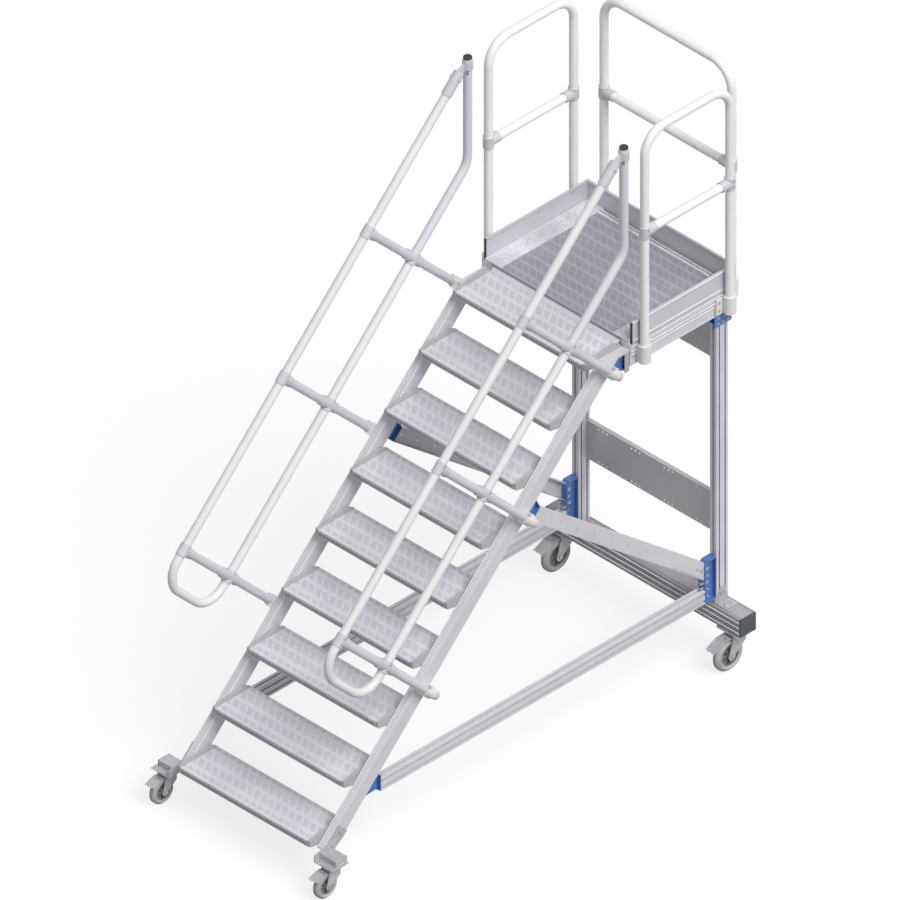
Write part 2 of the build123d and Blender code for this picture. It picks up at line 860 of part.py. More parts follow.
pieces["guard_mid_rails"] = [*pair(side_mid), back_mid]
guard_joints = [
    *pair(tee((rail_plane, front_post_y, guard_mid), (0, 0, 1), [(0, 1, 0)])),
    *pair(tee((rail_plane, rear_post_y, guard_mid), (0, 0, 1), [(0, -1, 0)])),
    *pair(tee((back_guard_half, back_plane, guard_mid), (0, 0, 1), [(-1, 0, 0)])),
]
pieces["guard_joints"] = guard_joints


def post_clamp(stand):
    """Clamp round a post at the origin, its foot at a distance along local minus x, standing up."""
    outer = tube_radius + tube_fit + guard_clamp_wall
    section = Circle(outer) + Pos(-stand / 2, 0) * Rectangle(stand, guard_clamp_ear)
    section -= Circle(tube_radius + tube_fit)
    body = extrude(section, guard_clamp_height)
    body += box_between((-stand, 0, 0), (guard_wing_wall - stand, guard_wing_reach, guard_wing_height))
    body -= Pos(0, 0, -overrun) * Cylinder(
        tube_radius + tube_fit, guard_clamp_height + 2 * overrun, align=(Align.CENTER, Align.CENTER, Align.MIN)
    )
    body -= Pos(-stand - overrun, 0, guard_clamp_height / 2) * Box(
        2 * overrun, 2 * (guard_wing_reach + overrun), 2 * guard_clamp_height
    )
    return body


side_clamp = post_clamp(guard_stand)
clamp_low = guard_low
guard_clamps = [
    *pair(Pos(rail_plane, front_post_y, clamp_low) * side_clamp),
    *pair(Pos(rail_plane, rear_post_y, clamp_low) * mirror(side_clamp, about=Plane.XZ)),
    *pair(Pos(back_guard_half, back_plane, clamp_low) * Rot(0, 0, 90) * post_clamp(back_guard_stand)),
]
pieces["guard_clamps"] = guard_clamps

# Handrails: one bent tube each side, with a folded foot and a plumb upper end
mid_line_z = first_tread_height + hand_end_y * slope_z / slope_y + hand_mid / slope_y
hand_end_z = platform_top + hand_end_height
top_end_along = (hand_end_y + hand_top * slope_z) / slope_y - hand_joint_gap - tube_radius
hand_foot_mid = on_slope(hand_start, hand_mid)
hand_foot_top = on_slope(hand_start, hand_top)
hand_top_stop = on_slope(top_end_along - hand_joint_length + hand_joint_gap + joint_reach, hand_top)
handrail = round_tube(
    [
        (rail_plane, hand_end_y, hand_end_z),
        (rail_plane, hand_end_y, mid_line_z),
        (rail_plane, *hand_foot_mid),
        (rail_plane, *hand_foot_top),
        (rail_plane, *hand_top_stop),
    ]
)
pieces["handrail_right"] = [handrail]
pieces["handrail_left"] = [mirrored(handrail)]

# Adjustable joints where the top rails meet the plumb ends
sleeve_outer = tube_radius + tube_fit + joint_wall
sleeve_start = on_slope(top_end_along - hand_joint_length, hand_top)
sleeve_end = on_slope(top_end_along - tube_radius - hand_joint_gap, hand_top)
sleeve = rod_between((rail_plane, *sleeve_start), (rail_plane, *sleeve_end), sleeve_outer)
sleeve -= rod_between((rail_plane, *sleeve_start), (rail_plane, *hand_top_stop), tube_radius + tube_fit)
eye_low = hand_end_z - hand_eye_drop - hand_eye_length / 2
eye_high = eye_low + hand_eye_length
tongue = side_slab(
    [
        sleeve_end,
        on_slope(top_end_along - tube_radius - hand_joint_gap, hand_top - hand_tongue_width / 2),
        (hand_end_y, eye_low),
        (hand_end_y, eye_high),
        on_slope(top_end_along - tube_radius - hand_joint_gap, hand_top + hand_tongue_width / 2),
    ],
    rail_plane - hand_tongue / 2,
    rail_plane + hand_tongue / 2,
)
eye = rod_between((rail_plane, hand_end_y, eye_low), (rail_plane, hand_end_y, eye_high), sleeve_outer)
adjuster = sleeve + tongue + eye
adjuster -= rod_between(
    (rail_plane, hand_end_y, eye_low - overrun),
    (rail_plane, hand_end_y, eye_high + overrun),
    tube_radius + tube_fit,
)
pieces["handrail_adjusters"] = pair(adjuster)

# Black plugs in the plumb ends
plug = Pos(rail_plane, hand_end_y, hand_end_z) * Cylinder(
    tube_radius, plug_height, align=(Align.CENTER, Align.CENTER, Align.MIN)
)
plug = fillet(plug.edges().group_by(Axis.Z)[-1], plug_height / 2)
plug += Pos(rail_plane, hand_end_y, hand_end_z - plug_skirt) * Cylinder(
    tube_radius - tube_wall - plug_fit, plug_skirt, align=(Align.CENTER, Align.CENTER, Align.MIN)
)
pieces["handrail_plugs"] = pair(plug)

# Bracket tubes square to the stringers, split at the mid rails by cross joints
bracket_tubes = []
bracket_joints = []
bracket_clamps = []
up_way = Vector(0, *on_slope(0, 1)) - Vector(0, *on_slope(0, 0))
along_way = Vector(0, slope_y, slope_z)
for along in bracket_along:
    top_place = Vector(rail_plane, *on_slope(along, hand_top))
    mid_place = Vector(rail_plane, *on_slope(along, hand_mid))
    low_place = Vector(rail_plane, *on_slope(along, -bracket_end))
    bracket_tubes.append(round_tube([top_place - up_way * stop, mid_place + up_way * stop], False))
    bracket_tubes.append(round_tube([mid_place - up_way * stop, low_place], False))
    bracket_joints.append(tee(top_place, along_way, [-up_way]))
    bracket_joints.append(tee(mid_place, along_way, [up_way, -up_way]))
    clamp_place = Vector(rail_plane, *on_slope(along, stringer_line))
    clamp_plane = Plane(clamp_place - up_way * (bracket_clamp_length / 2), x_dir=(1, 0, 0), z_dir=up_way)
    clamp_stand = rail_plane - rail_outer
    clamp_section = Circle(sleeve_outer) + Pos(-clamp_stand / 2, 0) * Rectangle(clamp_stand, bracket_clamp_width)
    clamp_section -= Circle(tube_radius + tube_fit)
    bracket_clamps.append(extrude(clamp_plane * clamp_section, bracket_clamp_length, dir=up_way))
pieces["handrail_brackets_right"] = bracket_tubes
pieces["handrail_brackets_left"] = [mirrored(tube) for tube in bracket_tubes]
pieces["handrail_joints"] = [solid for joint in bracket_joints for solid in pair(joint)]
pieces["stringer_clamps"] = [solid for clamp in bracket_clamps for solid in pair(clamp)]

# Steel seats that carry the front castors beside the stringers' feet
seat_low = front_castor_height
seat_front = front_castor_y - seat_length / 2
seat_back = front_castor_y + seat_length / 2
seat_outer = front_castor_x + seat_half
seat = box_between((rail_outer, seat_front, seat_low), (seat_outer, seat_back, seat_low + seat_wall))
seat += side_slab(
    [
        (seat_front, seat_low),
        (seat_back, seat_low),
        on_slope(seat_tab_start + rail_depth, -stringer_drop - rail_depth),
        on_slope(seat_tab_start + seat_tab_length, -stringer_drop - rail_depth),
        on_slope(seat_tab_start + seat_tab_length, -stringer_drop),
        on_slope(seat_tab_start, -stringer_drop),
        (seat_front, seat_low + seat_web_height),
    ],
    rail_outer,
    rail_outer + seat_wall,
)
for y in (seat_front + seat_step, seat_back - seat_wall):
    seat += box_between(
        (rail_outer, y, seat_low), (seat_outer - seat_box_inset, y + seat_wall, seat_low + seat_box_height)
    )
seat += box_between(
    (rail_outer, seat_front + seat_step, seat_low + seat_box_height - seat_wall),
    (seat_outer - seat_box_inset, seat_back, seat_low + seat_box_height),
)
for x_side in (1, -1):
    for y_side in (1, -1):
        seat -= Pos(
            front_castor_x + x_side * front_plate_hole[0], front_castor_y + y_side * front_plate_hole[1], seat_low
        ) * Cylinder(castor_hole_radius, overrun)
pieces["castor_seats"] = pair(seat)


def castor(radius, width, height, trail, crown, reach, drop, half, hole):
    """Braked swivel castor with its swivel axis at the origin and the floor at z zero."""
    plate = extrude(RectangleRounded(2 * half[0], 2 * half[1], castor_plate_round), castor_plate_wall)
    plate = Pos(0, 0, height - castor_plate_wall) * plate
    for x_side in (1, -1):
        for y_side in (1, -1):
            plate -= Pos(x_side * hole[0], y_side * hole[1], height) * Cylinder(castor_hole_radius, overrun)
    race_low = height - castor_plate_wall - race_height
    crown_top = race_low
    crown_low = crown_top - crown_wall
    race = Pos(0, 0, race_low + race_gap) * Cone(
        crown, crown - race_height / 2, race_height - race_gap, align=(Align.CENTER, Align.CENTER, Align.MIN)
    )
    king_low = crown_low - race_gap - king_head_height
    king = Pos(0, 0, king_low) * Cylinder(
        king_radius, height - king_low - castor_plate_wall, align=(Align.CENTER, Align.CENTER, Align.MIN)
    )
    head = Pos(0, 0, king_low) * Cylinder(
        king_head_radius, king_head_height, align=(Align.CENTER, Align.CENTER, Align.MIN)
    )
    plate = plate + race + king + head

    leg_inner = width / 2 + fork_gap
    leg_outer = leg_inner + fork_wall
    arm = crown * fork_shoulder_share
    boss = radius * fork_boss_share
    back = crown * fork_back_share
    axle_y = -trail
    leg_top = crown_top
    side_outline = make_face(
        Polyline(
            (back, leg_top),
            (-crown, leg_top),
            (-crown - crown_wall, crown_low - crown_wall),
            (axle_y - boss, radius),
            (axle_y + boss, radius),
            (back, crown_low - crown_wall - arm),
            close=True,
        )
    )
    side_outline += Pos(axle_y, radius) * Circle(boss)
    fork = Pos(-leg_outer, 0, 0) * extrude(Plane.YZ * side_outline, 2 * leg_outer, dir=(1, 0, 0))
    fork -= box_between(
        (-leg_inner, -reach - trail, -overrun),
        (leg_inner, crown + overrun, crown_low),
    )
    fork += Pos(0, 0, crown_low) * Cylinder(crown, crown_wall, align=(Align.CENTER, Align.CENTER, Align.MIN))
    fork -= Pos(0, 0, crown_low - overrun) * Cylinder(
        king_radius + running_fit, 2 * overrun, align=(Align.CENTER, Align.CENTER, Align.MIN)
    )
    fork -= cross_rod(axle_radius, axle_y, radius, -leg_outer - overrun, leg_outer + overrun)

    axle = cross_rod(axle_radius, axle_y, radius, -leg_outer, leg_outer)
    axle += cross_rod(axle_head_radius, axle_y, radius, leg_outer, leg_outer + axle_head_height)
    axle += cross_rod(axle_head_radius, axle_y, radius, -leg_outer - axle_head_height, -leg_outer)

    tyre_depth = radius * tyre_share
    rim_radius = radius - tyre_depth
    hub_half = leg_inner - hub_gap
    rim_half = width / 2 - rim_wall / 2
    hub_profile = make_face(
        Polyline(
            (-hub_half, axle_radius + running_fit),
            (hub_half, axle_radius + running_fit),
            (hub_half, hub_radius),
            (hub_web / 2, hub_radius + hub_web / 2),
            (hub_web / 2, rim_radius - rim_wall),
            (rim_half, rim_radius - rim_wall),
            (rim_half, rim_radius),
            (-rim_half, rim_radius),
            (-rim_half, rim_radius - rim_wall),
            (-hub_web / 2, rim_radius - rim_wall),
            (-hub_web / 2, hub_radius + hub_web / 2),
            (-hub_half, hub_radius),
            close=True,
        )
    )
    hub = revolve(hub_profile, Axis.X)
    round_size = tyre_depth * tyre_round_share
    tyre_profile = make_face(
        Polyline(
            (-rim_half, rim_radius),
            (rim_half, rim_radius),
            (width / 2, rim_radius + rim_wall),
            (width / 2, radius - round_size),
            (width / 2 - round_size, radius),
            (round_size - width / 2, radius),
            (-width / 2, radius - round_size),
            (-width / 2, rim_radius + rim_wall),
            close=True,
        )
    )
    outer_corners = tyre_profile.vertices().filter_by(lambda v: v.Y > rim_radius + rim_wall * 2)
    tyre_profile = fillet(outer_corners, round_size * tyre_edge_share)
    tyre = revolve(tyre_profile, Axis.X)
    wheel_place = Pos(0, axle_y, radius)

    pedal_top = crown_low - race_gap
    inner_half = leg_inner - pedal_side_fit
    pivot_y = -crown
    knee_y = pivot_y - (reach - crown) * pedal_knee_share
    sheet = side_slab(
        [
            (pivot_y, pedal_top),
            (knee_y, pedal_top - pedal_wall),
            (-reach, pedal_top - drop),
            (-reach, pedal_top - drop - pedal_wall),
            (knee_y, pedal_top - 2 * pedal_wall),
            (pivot_y, pedal_top - pedal_wall),
        ],
        -pedal_half,
        pedal_half,
    )
    neck_y = -crown - crown_wall - fork_wall
    for side in (1, -1):
        sheet -= Pos(side * (inner_half + overrun / 2), neck_y + overrun, pedal_top) * Box(
            overrun, 2 * overrun, 2 * overrun
        )
    slot = Pos(0, (neck_y + knee_y) / 2, pedal_top) * Box(pedal_half, pedal_notch, overrun)
    for tooth in (-1, 0, 1):
        sheet -= Pos(tooth * pedal_half * pedal_tooth_share, -reach, pedal_top - drop) * Cylinder(pedal_notch, overrun)
    pedal = sheet - slot
    pedal += cross_rod(pedal_pivot_radius, pivot_y, pedal_top - pedal_pivot_radius, -inner_half, inner_half)
    return {
        "plate": plate,
        "fork": fork,
        "axle": axle,
        "hub": wheel_place * hub,
        "tyre": wheel_place * tyre,
        "pedal": pedal,
    }


front = castor(
    front_wheel_radius,
    front_wheel_width,
    front_castor_height,
    front_trail,
    front_crown_radius,
    front_pedal_reach,
    front_pedal_drop,
    front_plate_half,
    front_plate_hole,
)
rear = castor(
    rear_wheel_radius,
    rear_wheel_width,
    rear_castor_height,
    rear_trail,
    rear_crown_radius,
    rear_pedal_reach,
    rear_pedal_drop,
    rear_plate_half,
    rear_plate_hole,
)
castor_places = [
    ("front_left", front, -front_castor_x, front_castor_y),
    ("front_right", front, front_castor_x, front_castor_y),
    ("rear_left", rear, -rear_castor_x, post_y),
    ("rear_right", rear, rear_castor_x, post_y),
]
for name, parts_of, x, y in castor_places:
    pieces.setdefault("castor_plates", []).append(Pos(x, y, 0) * parts_of["plate"])
    for part_name in ("fork", "axle", "hub", "tyre", "pedal"):
        pieces[part_name + "_" + name] = [Pos(x, y, 0) * parts_of[part_name]]

# Everything moves so that the middle of the stairs is at y zero
whole = Compound([solid for group in pieces.values() for shape in group for solid in shape.solids()])
bounds = whole.bounding_box()
shift = -(bounds.min.Y + bounds.max.Y) / 2
for name, group in pieces.items():
    solids = [solid for shape in group for solid in shape.solids()]
    moved = [Pos(0, shift, 0) * solid for solid in solids]
    export_step(moved[0] if len(moved) == 1 else Compound(moved), "parts/" + name + ".step")
print("pieces", len(pieces), "shift", round(shift, 4), "size", bounds.size)
print("swivel front", front_castor_x, round(front_castor_y + shift, 4), "rear", rear_castor_x, round(post_y + shift, 4))
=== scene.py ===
import math

import bmesh
import bpy
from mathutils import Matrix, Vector


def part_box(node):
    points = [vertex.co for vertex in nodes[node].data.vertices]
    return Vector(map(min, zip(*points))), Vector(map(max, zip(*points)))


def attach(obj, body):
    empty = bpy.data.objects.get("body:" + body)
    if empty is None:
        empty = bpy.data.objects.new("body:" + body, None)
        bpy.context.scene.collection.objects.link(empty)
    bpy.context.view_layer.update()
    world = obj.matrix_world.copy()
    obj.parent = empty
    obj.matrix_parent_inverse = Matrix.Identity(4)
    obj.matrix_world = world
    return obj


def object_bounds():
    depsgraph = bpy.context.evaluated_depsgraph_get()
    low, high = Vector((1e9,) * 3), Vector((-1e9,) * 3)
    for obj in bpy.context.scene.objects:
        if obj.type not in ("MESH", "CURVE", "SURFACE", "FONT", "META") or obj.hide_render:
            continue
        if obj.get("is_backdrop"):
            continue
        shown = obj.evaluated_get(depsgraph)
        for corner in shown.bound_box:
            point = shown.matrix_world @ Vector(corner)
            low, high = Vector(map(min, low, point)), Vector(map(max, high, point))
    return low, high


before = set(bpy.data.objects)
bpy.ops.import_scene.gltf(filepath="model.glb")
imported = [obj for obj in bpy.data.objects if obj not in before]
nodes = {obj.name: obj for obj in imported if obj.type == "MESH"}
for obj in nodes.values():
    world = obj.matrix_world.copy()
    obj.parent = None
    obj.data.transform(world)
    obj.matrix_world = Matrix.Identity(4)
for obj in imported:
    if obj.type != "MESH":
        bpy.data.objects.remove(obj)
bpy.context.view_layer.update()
print("frame loaded", len(nodes), "nodes")

srgbCurve = dict(knee=0.04045, slope=12.92, shift=0.055, power=2.4)


def fromHex(text):
    # sRGB hex to linear colour
    linear = []
    for start in (1, 3, 5):
        value = int(text[start:start + 2], 16) / 0xFF
        if value <= srgbCurve["knee"]:
            linear.append(value / srgbCurve["slope"])
        else:
            linear.append(((value + srgbCurve["shift"]) / (1 + srgbCurve["shift"])) ** srgbCurve["power"])
    return (*linear, 1.0)


def addNode(tree, kind, settings=None, inputs=None, links=None):
    # settings are properties, inputs are fixed socket values, links are (own socket, other node, its socket)
    made = tree.nodes.new(kind)
    for name, value in (settings or {}).items():
        setattr(made, name, value)
    for name, value in (inputs or {}).items():
        made.inputs[name].default_value = value
    for own, other, socket in (links or []):
        tree.links.new(other.outputs[socket], made.inputs[own])
    return made


climbAngle = math.radians(45)
braceAngle = math.radians(38.5)

# Finishes. Grain and relief are in millimetres, spread is how far the roughness strays with the grain,
# streak stretches the grain along an axis of the part, and paintedShade is how much painted shade darkens the
# inner corners.
anodised = dict(colour="#DEDCE2", shade="#D3D1D8", metallic=0.12, roughness=0.40, spread=0.10, grain=2.6,
                bump=0.05, relief=0.1, paintedShade=0.22)
finishes = {
    # clear anodised extrusion: soft satin sheen and die lines along the bar, here the bars that stand upright
    "uprightAluminium": dict(anodised, streak=(1, 1, 0.03)),
    # the same stock laid across
    "crossAluminium": dict(anodised, streak=(0.03, 1, 1)),
    # the same stock laid along the climb, so its die lines run at 45 degrees
    "slopedAluminium": dict(anodised, colour="#D8D6DB", shade="#CFCDD3", streak=(1, 0.03, 1),
                            turn=(-climbAngle, 0, 0)),
    # and along the braces, which run down to the back, a shade duller
    "braceAluminium": dict(anodised, colour="#D7D5DA", shade="#CFCDD2", streak=(1, 0.03, 1),
                           turn=(braceAngle, 0, 0)),
    # toe boards, rolled smooth: an even sheen with hardly a die line
    "toeAluminium": dict(anodised, colour="#D0CED3", shade="#C9C7CC", streak=(1, 0.03, 1), bump=0.03,
                         paintedShade=0.1),
    # side beams laid front to back: die lines along them and clean grooves
    "railAluminium": dict(anodised, colour="#DCDADF", shade="#D4D2D7", streak=(1, 0.03, 1), paintedShade=0.1),
    # flanged plate, flat and even
    "plateAluminium": dict(anodised, colour="#C8C6C9", shade="#C2C0C3", streak=(0.03, 1, 1), bump=0.03,
                           paintedShade=0.1),
    # the base beam is the dullest of the extrusions, grey with road dust
    "beamAluminium": dict(anodised, colour="#B5B3B7", shade="#A5A3A7", streak=(0.03, 1, 1)),
    # pale strips beside the deck, tumbled so that they sparkle
    # the real speckle is too fine to show, so it is drawn coarser
    "speckledAluminium": dict(anodised, colour="#EEECF2", shade="#C6C4CA", roughness=0.5, grain=5.0,
                              streak=(1, 1, 1), bump=0.3, relief=0.3, paintedShade=0.1),
    # ridges of the extrusion, drawn pale as a painted highlight along their edges
    "paintedHighlightAluminium": dict(anodised, colour="#F0EFF2", shade="#E2E1E5", roughness=0.32, streak=(0.03, 1, 1),
                           paintedShade=0.0),
    # mill-finish tread plank: die lines along the tread, scuffed paler by shoes
    "treadAluminium": dict(anodised, colour="#E4E2E8", shade="#D8D6DD", roughness=0.50, grain=3.0,
                           streak=(0.04, 1, 1), bump=0.08, relief=0.15, paintedShade=0.2),
    # blasted pads that shoes grip: matt and a little darker
    "gripAluminium": dict(anodised, colour="#D4D2D8", shade="#C8C6CD", roughness=0.66, grain=1.4,
                          streak=(1, 1, 1), bump=0.25, relief=0.2, paintedShade=0.0),
    # the deck's planks and pads are of the treads' make, but a darker, cooler grey
    "deckAluminium": dict(anodised, colour="#B1AFB6", shade="#A9A7AE", roughness=0.52, grain=3.0,
                          streak=(0.04, 1, 1), bump=0.08, relief=0.15, paintedShade=0.08),
    "deckGrip": dict(anodised, colour="#A2A0A9", shade="#9A98A1", roughness=0.68, grain=1.4,
                     streak=(1, 1, 1), bump=0.25, relief=0.2, paintedShade=0.0),
    # nosing strip, dark with use
    "nosingAluminium": dict(anodised, colour="#AFADB2", shade="#9B999F", roughness=0.55, grain=1.6,
                            streak=(1, 1, 1), bump=0.2, relief=0.2, paintedShade=0.25),
    # its teeth, rubbed bright by soles
    "toothAluminium": dict(anodised, colour="#DDDCE0", shade="#CFCED3", roughness=0.42, grain=1.2,
                           streak=(1, 1, 1), bump=0.1, relief=0.1, paintedShade=0.0),
    # die-cast aluminium, tumbled: warm grey with a fine pebble
    "castAluminium": dict(anodised, colour="#BFBEBE", shade="#B0AFAF", roughness=0.58, grain=1.2,
                          streak=(1, 1, 1), bump=0.3, relief=0.25, paintedShade=0.25),
    # cast clamps: pale, with a cream tint and a fine pebble
    "clampAluminium": dict(anodised, colour="#EFEEEB", shade="#E4E3E0", roughness=0.5, grain=1.2,
                           streak=(1, 1, 1), bump=0.25, relief=0.2, paintedShade=0.25),
    # cast joints under light grey lacquer: smooth, with a soft even gloss
    "jointLacquer": dict(anodised, colour="#D6D4D9", shade="#C9C7CD", metallic=0.0, roughness=0.42,
                         spread=0.08, grain=1.6, streak=(1, 1, 1), bump=0.15, relief=0.15, paintedShade=0.25),
    # drawn tube left plain: a little shinier than the bars
    "drawnTube": dict(anodised, colour="#DCDAE0", shade="#CECCD3", roughness=0.36, grain=2.2,
                      streak=(1, 1, 1)),
    # white powder coat: smooth with faint orange peel
    "whitePowderCoat": dict(colour="#F8F8F6", shade="#F3F3F1", metallic=0.0, roughness=0.34, spread=0.06,
                            grain=3.4, streak=(1, 1, 1), bump=0.10, relief=0.2, paintedShade=0.1),
    # the handrails' coat is a shade greyer, and leaves their plumb ends and lower bends as bare drawn tube:
    # bare gives the tube's colour and where it starts, in metres
    "handrailCoat": dict(colour="#EBEAEA", shade="#E4E3E3", metallic=0.0, roughness=0.34, spread=0.06,
                         grain=3.4, streak=(1, 1, 1), bump=0.10, relief=0.2, paintedShade=0.1,
                         bare=dict(colour="#DBD9DF", plumb=0.54, along=1.677, out=1.497)),
    # blue powder coat on the pierced connectors: satin, with faint orange peel
    "bluePowderCoat": dict(colour="#5E83C2", shade="#5277B6", metallic=0.0, roughness=0.38, spread=0.08,
                           grain=2.8, streak=(1, 1, 1), bump=0.12, relief=0.2, paintedShade=0.25),
    # zinc-plated pressed steel: cool grey, cloudy
    "zincSteel": dict(colour="#C3C3C6", shade="#B0B0B3", metallic=0.25, roughness=0.42, spread=0.16,
                      grain=9.0, streak=(1, 1, 1), bump=0.08, relief=0.1, paintedShade=0.25),
    # bolts and axle ends, bright zinc: small hard glints
    "boltZinc": dict(colour="#C6C5C8", shade="#A9A8AC", metallic=0.45, roughness=0.34, spread=0.1,
                     grain=1.0, streak=(1, 1, 1), bump=0.1, relief=0.1, paintedShade=0.25),
    # black-oxide set screws and rivets: dark grey dots
    "darkSteel": dict(colour="#4A4A4C", shade="#3A3A3C", metallic=0.4, roughness=0.45, spread=0.1,
                      grain=1.0, streak=(1, 1, 1), bump=0.1, relief=0.1, paintedShade=0.0),
    # moulded nylon caps: slate, with a dull even skin
    "slateNylon": dict(colour="#484E57", shade="#40464F", metallic=0.0, roughness=0.5, spread=0.08,
                       grain=1.0, streak=(1, 1, 1), bump=0.2, relief=0.15, paintedShade=0.15),
    # moulded nylon plugs: near black, with the same skin
    "blackNylon": dict(colour="#1F1F20", shade="#171718", metallic=0.0, roughness=0.46, spread=0.08,
                       grain=1.0, streak=(1, 1, 1), bump=0.2, relief=0.15, paintedShade=0.1),
    # wheel centres, moulded polypropylene: mid grey, with painted shade between the ribs
    "hubPolypropylene": dict(colour="#8A8E8B", shade="#7B7F7C", metallic=0.0, roughness=0.48, spread=0.08,
                             grain=1.0, streak=(1, 1, 1), bump=0.2, relief=0.15, paintedShade=0.3),
    # grey non-marking rubber: matt, with no glint
    "greyRubber": dict(colour="#C0C2BF", shade="#B2B4B1", metallic=0.0, roughness=0.76, spread=0.1,
                       grain=1.2, streak=(1, 1, 1), bump=0.35, relief=0.25, paintedShade=0.2),
}

# How every finish is drawn: cloud is the width of its cloudy patches and shadeReach how far the painted shade
# reaches into a corner, both in millimetres; tones is the span of noise that the two colours fill, shaded the
# span of occlusion that sets the painted shade.
# A patch is half as wide as a cell of the noise, so a noise's scale is half of what the patch's width gives.
drawing = dict(cloud=90, shadeReach=6, tones=(0.15, 0.38), shaded=(0.2, 0.85), grainDetail=3.0, cloudDetail=2.0,
               samples=6)
perMetre = 1000
mixFrom, mixTo, mixResult = 6, 7, 2  # the colour sockets of a Mix node


# Bare tube: all that is behind a plumb plane, and what lies high up the climb but close to its slope
def addBare(tree, place, tone, bare):
    upright = addNode(tree, "ShaderNodeSeparateXYZ", links=[("Vector", place, "Object")])
    leaned = addNode(tree, "ShaderNodeMapping", inputs={"Rotation": (-climbAngle, 0, 0)},
                     links=[("Vector", place, "Object")])
    sloped = addNode(tree, "ShaderNodeSeparateXYZ", links=[("Vector", leaned, "Vector")])
    behind = addNode(tree, "ShaderNodeMath", {"operation": "GREATER_THAN"}, {1: bare["plumb"]},
                     [(0, upright, "Y")])
    high = addNode(tree, "ShaderNodeMath", {"operation": "GREATER_THAN"}, {1: bare["along"]},
                   [(0, sloped, "Y")])
    close = addNode(tree, "ShaderNodeMath", {"operation": "LESS_THAN"}, {1: bare["out"]},
                    [(0, sloped, "Z")])
    bend = addNode(tree, "ShaderNodeMath", {"operation": "MULTIPLY"},
                   links=[(0, high, "Value"), (1, close, "Value")])
    either = addNode(tree, "ShaderNodeMath", {"operation": "MAXIMUM"},
                     links=[(0, behind, "Value"), (1, bend, "Value")])
    return addNode(tree, "ShaderNodeMix", {"data_type": "RGBA"}, {mixTo: fromHex(bare["colour"])},
                   [("Factor", either, "Value"), (mixFrom, tone, mixResult)])


def makeFinish(name, look):
    material = bpy.data.materials.new(name)
    material.use_nodes = True
    tree = material.node_tree
    tree.nodes.clear()
    place = addNode(tree, "ShaderNodeTexCoord")
    turned = addNode(tree, "ShaderNodeMapping", inputs={"Rotation": look.get("turn", (0, 0, 0))},
                     links=[("Vector", place, "Object")])
    laid = addNode(tree, "ShaderNodeMapping", inputs={"Scale": look["streak"]},
                   links=[("Vector", turned, "Vector")])
    grain = addNode(tree, "ShaderNodeTexNoise",
                    inputs={"Scale": perMetre / look["grain"] / 2, "Detail": drawing["grainDetail"]},
                    links=[("Vector", laid, "Vector")])
    cloud = addNode(tree, "ShaderNodeTexNoise",
                    inputs={"Scale": perMetre / drawing["cloud"] / 2, "Detail": drawing["cloudDetail"]},
                    links=[("Vector", turned, "Vector")])
    blend = addNode(tree, "ShaderNodeMath", {"operation": "MULTIPLY"},
                    links=[(0, grain, "Fac"), (1, cloud, "Fac")])
    ramp = addNode(tree, "ShaderNodeMapRange",
                   inputs={"From Min": drawing["tones"][0], "From Max": drawing["tones"][1]},
                   links=[("Value", blend, "Value")])
    tone = addNode(tree, "ShaderNodeMix", {"data_type": "RGBA"},
                   {mixFrom: fromHex(look["shade"]), mixTo: fromHex(look["colour"])},
                   [("Factor", ramp, "Result")])
    if "bare" in look:
        tone = addBare(tree, place, tone, look["bare"])
    # painted shade: the colour darkens in corners and recesses as far as ambient occlusion finds them
    if look["paintedShade"]:
        corner = addNode(tree, "ShaderNodeAmbientOcclusion", {"samples": drawing["samples"]},
                         inputs={"Distance": drawing["shadeReach"] / perMetre})
        cornerShade = addNode(tree, "ShaderNodeMapRange",
                         inputs={"From Min": drawing["shaded"][0], "From Max": drawing["shaded"][1],
                                 "To Min": 1 - look["paintedShade"], "To Max": 1.0},
                         links=[("Value", corner, "AO")])
        tone = addNode(tree, "ShaderNodeMix", {"data_type": "RGBA", "blend_type": "MULTIPLY"},
                       {"Factor": 1.0}, [(mixFrom, tone, mixResult), (mixTo, cornerShade, "Result")])
    rough = addNode(tree, "ShaderNodeMapRange", inputs={"To Min": look["roughness"] - look["spread"],
                                                        "To Max": look["roughness"] + look["spread"]},
                    links=[("Value", grain, "Fac")])
    relief = addNode(tree, "ShaderNodeBump",
                     inputs={"Strength": look["bump"], "Distance": look["relief"] / perMetre},
                     links=[("Height", grain, "Fac")])
    shader = addNode(tree, "ShaderNodeBsdfPrincipled", inputs={"Metallic": look["metallic"]},
                     links=[("Base Color", tone, mixResult), ("Roughness", rough, "Result"),
                            ("Normal", relief, "Normal")])
    addNode(tree, "ShaderNodeOutputMaterial", links=[("Surface", shader, "BSDF")])
    return material


finish = {name: makeFinish(name, look) for name, look in finishes.items()}

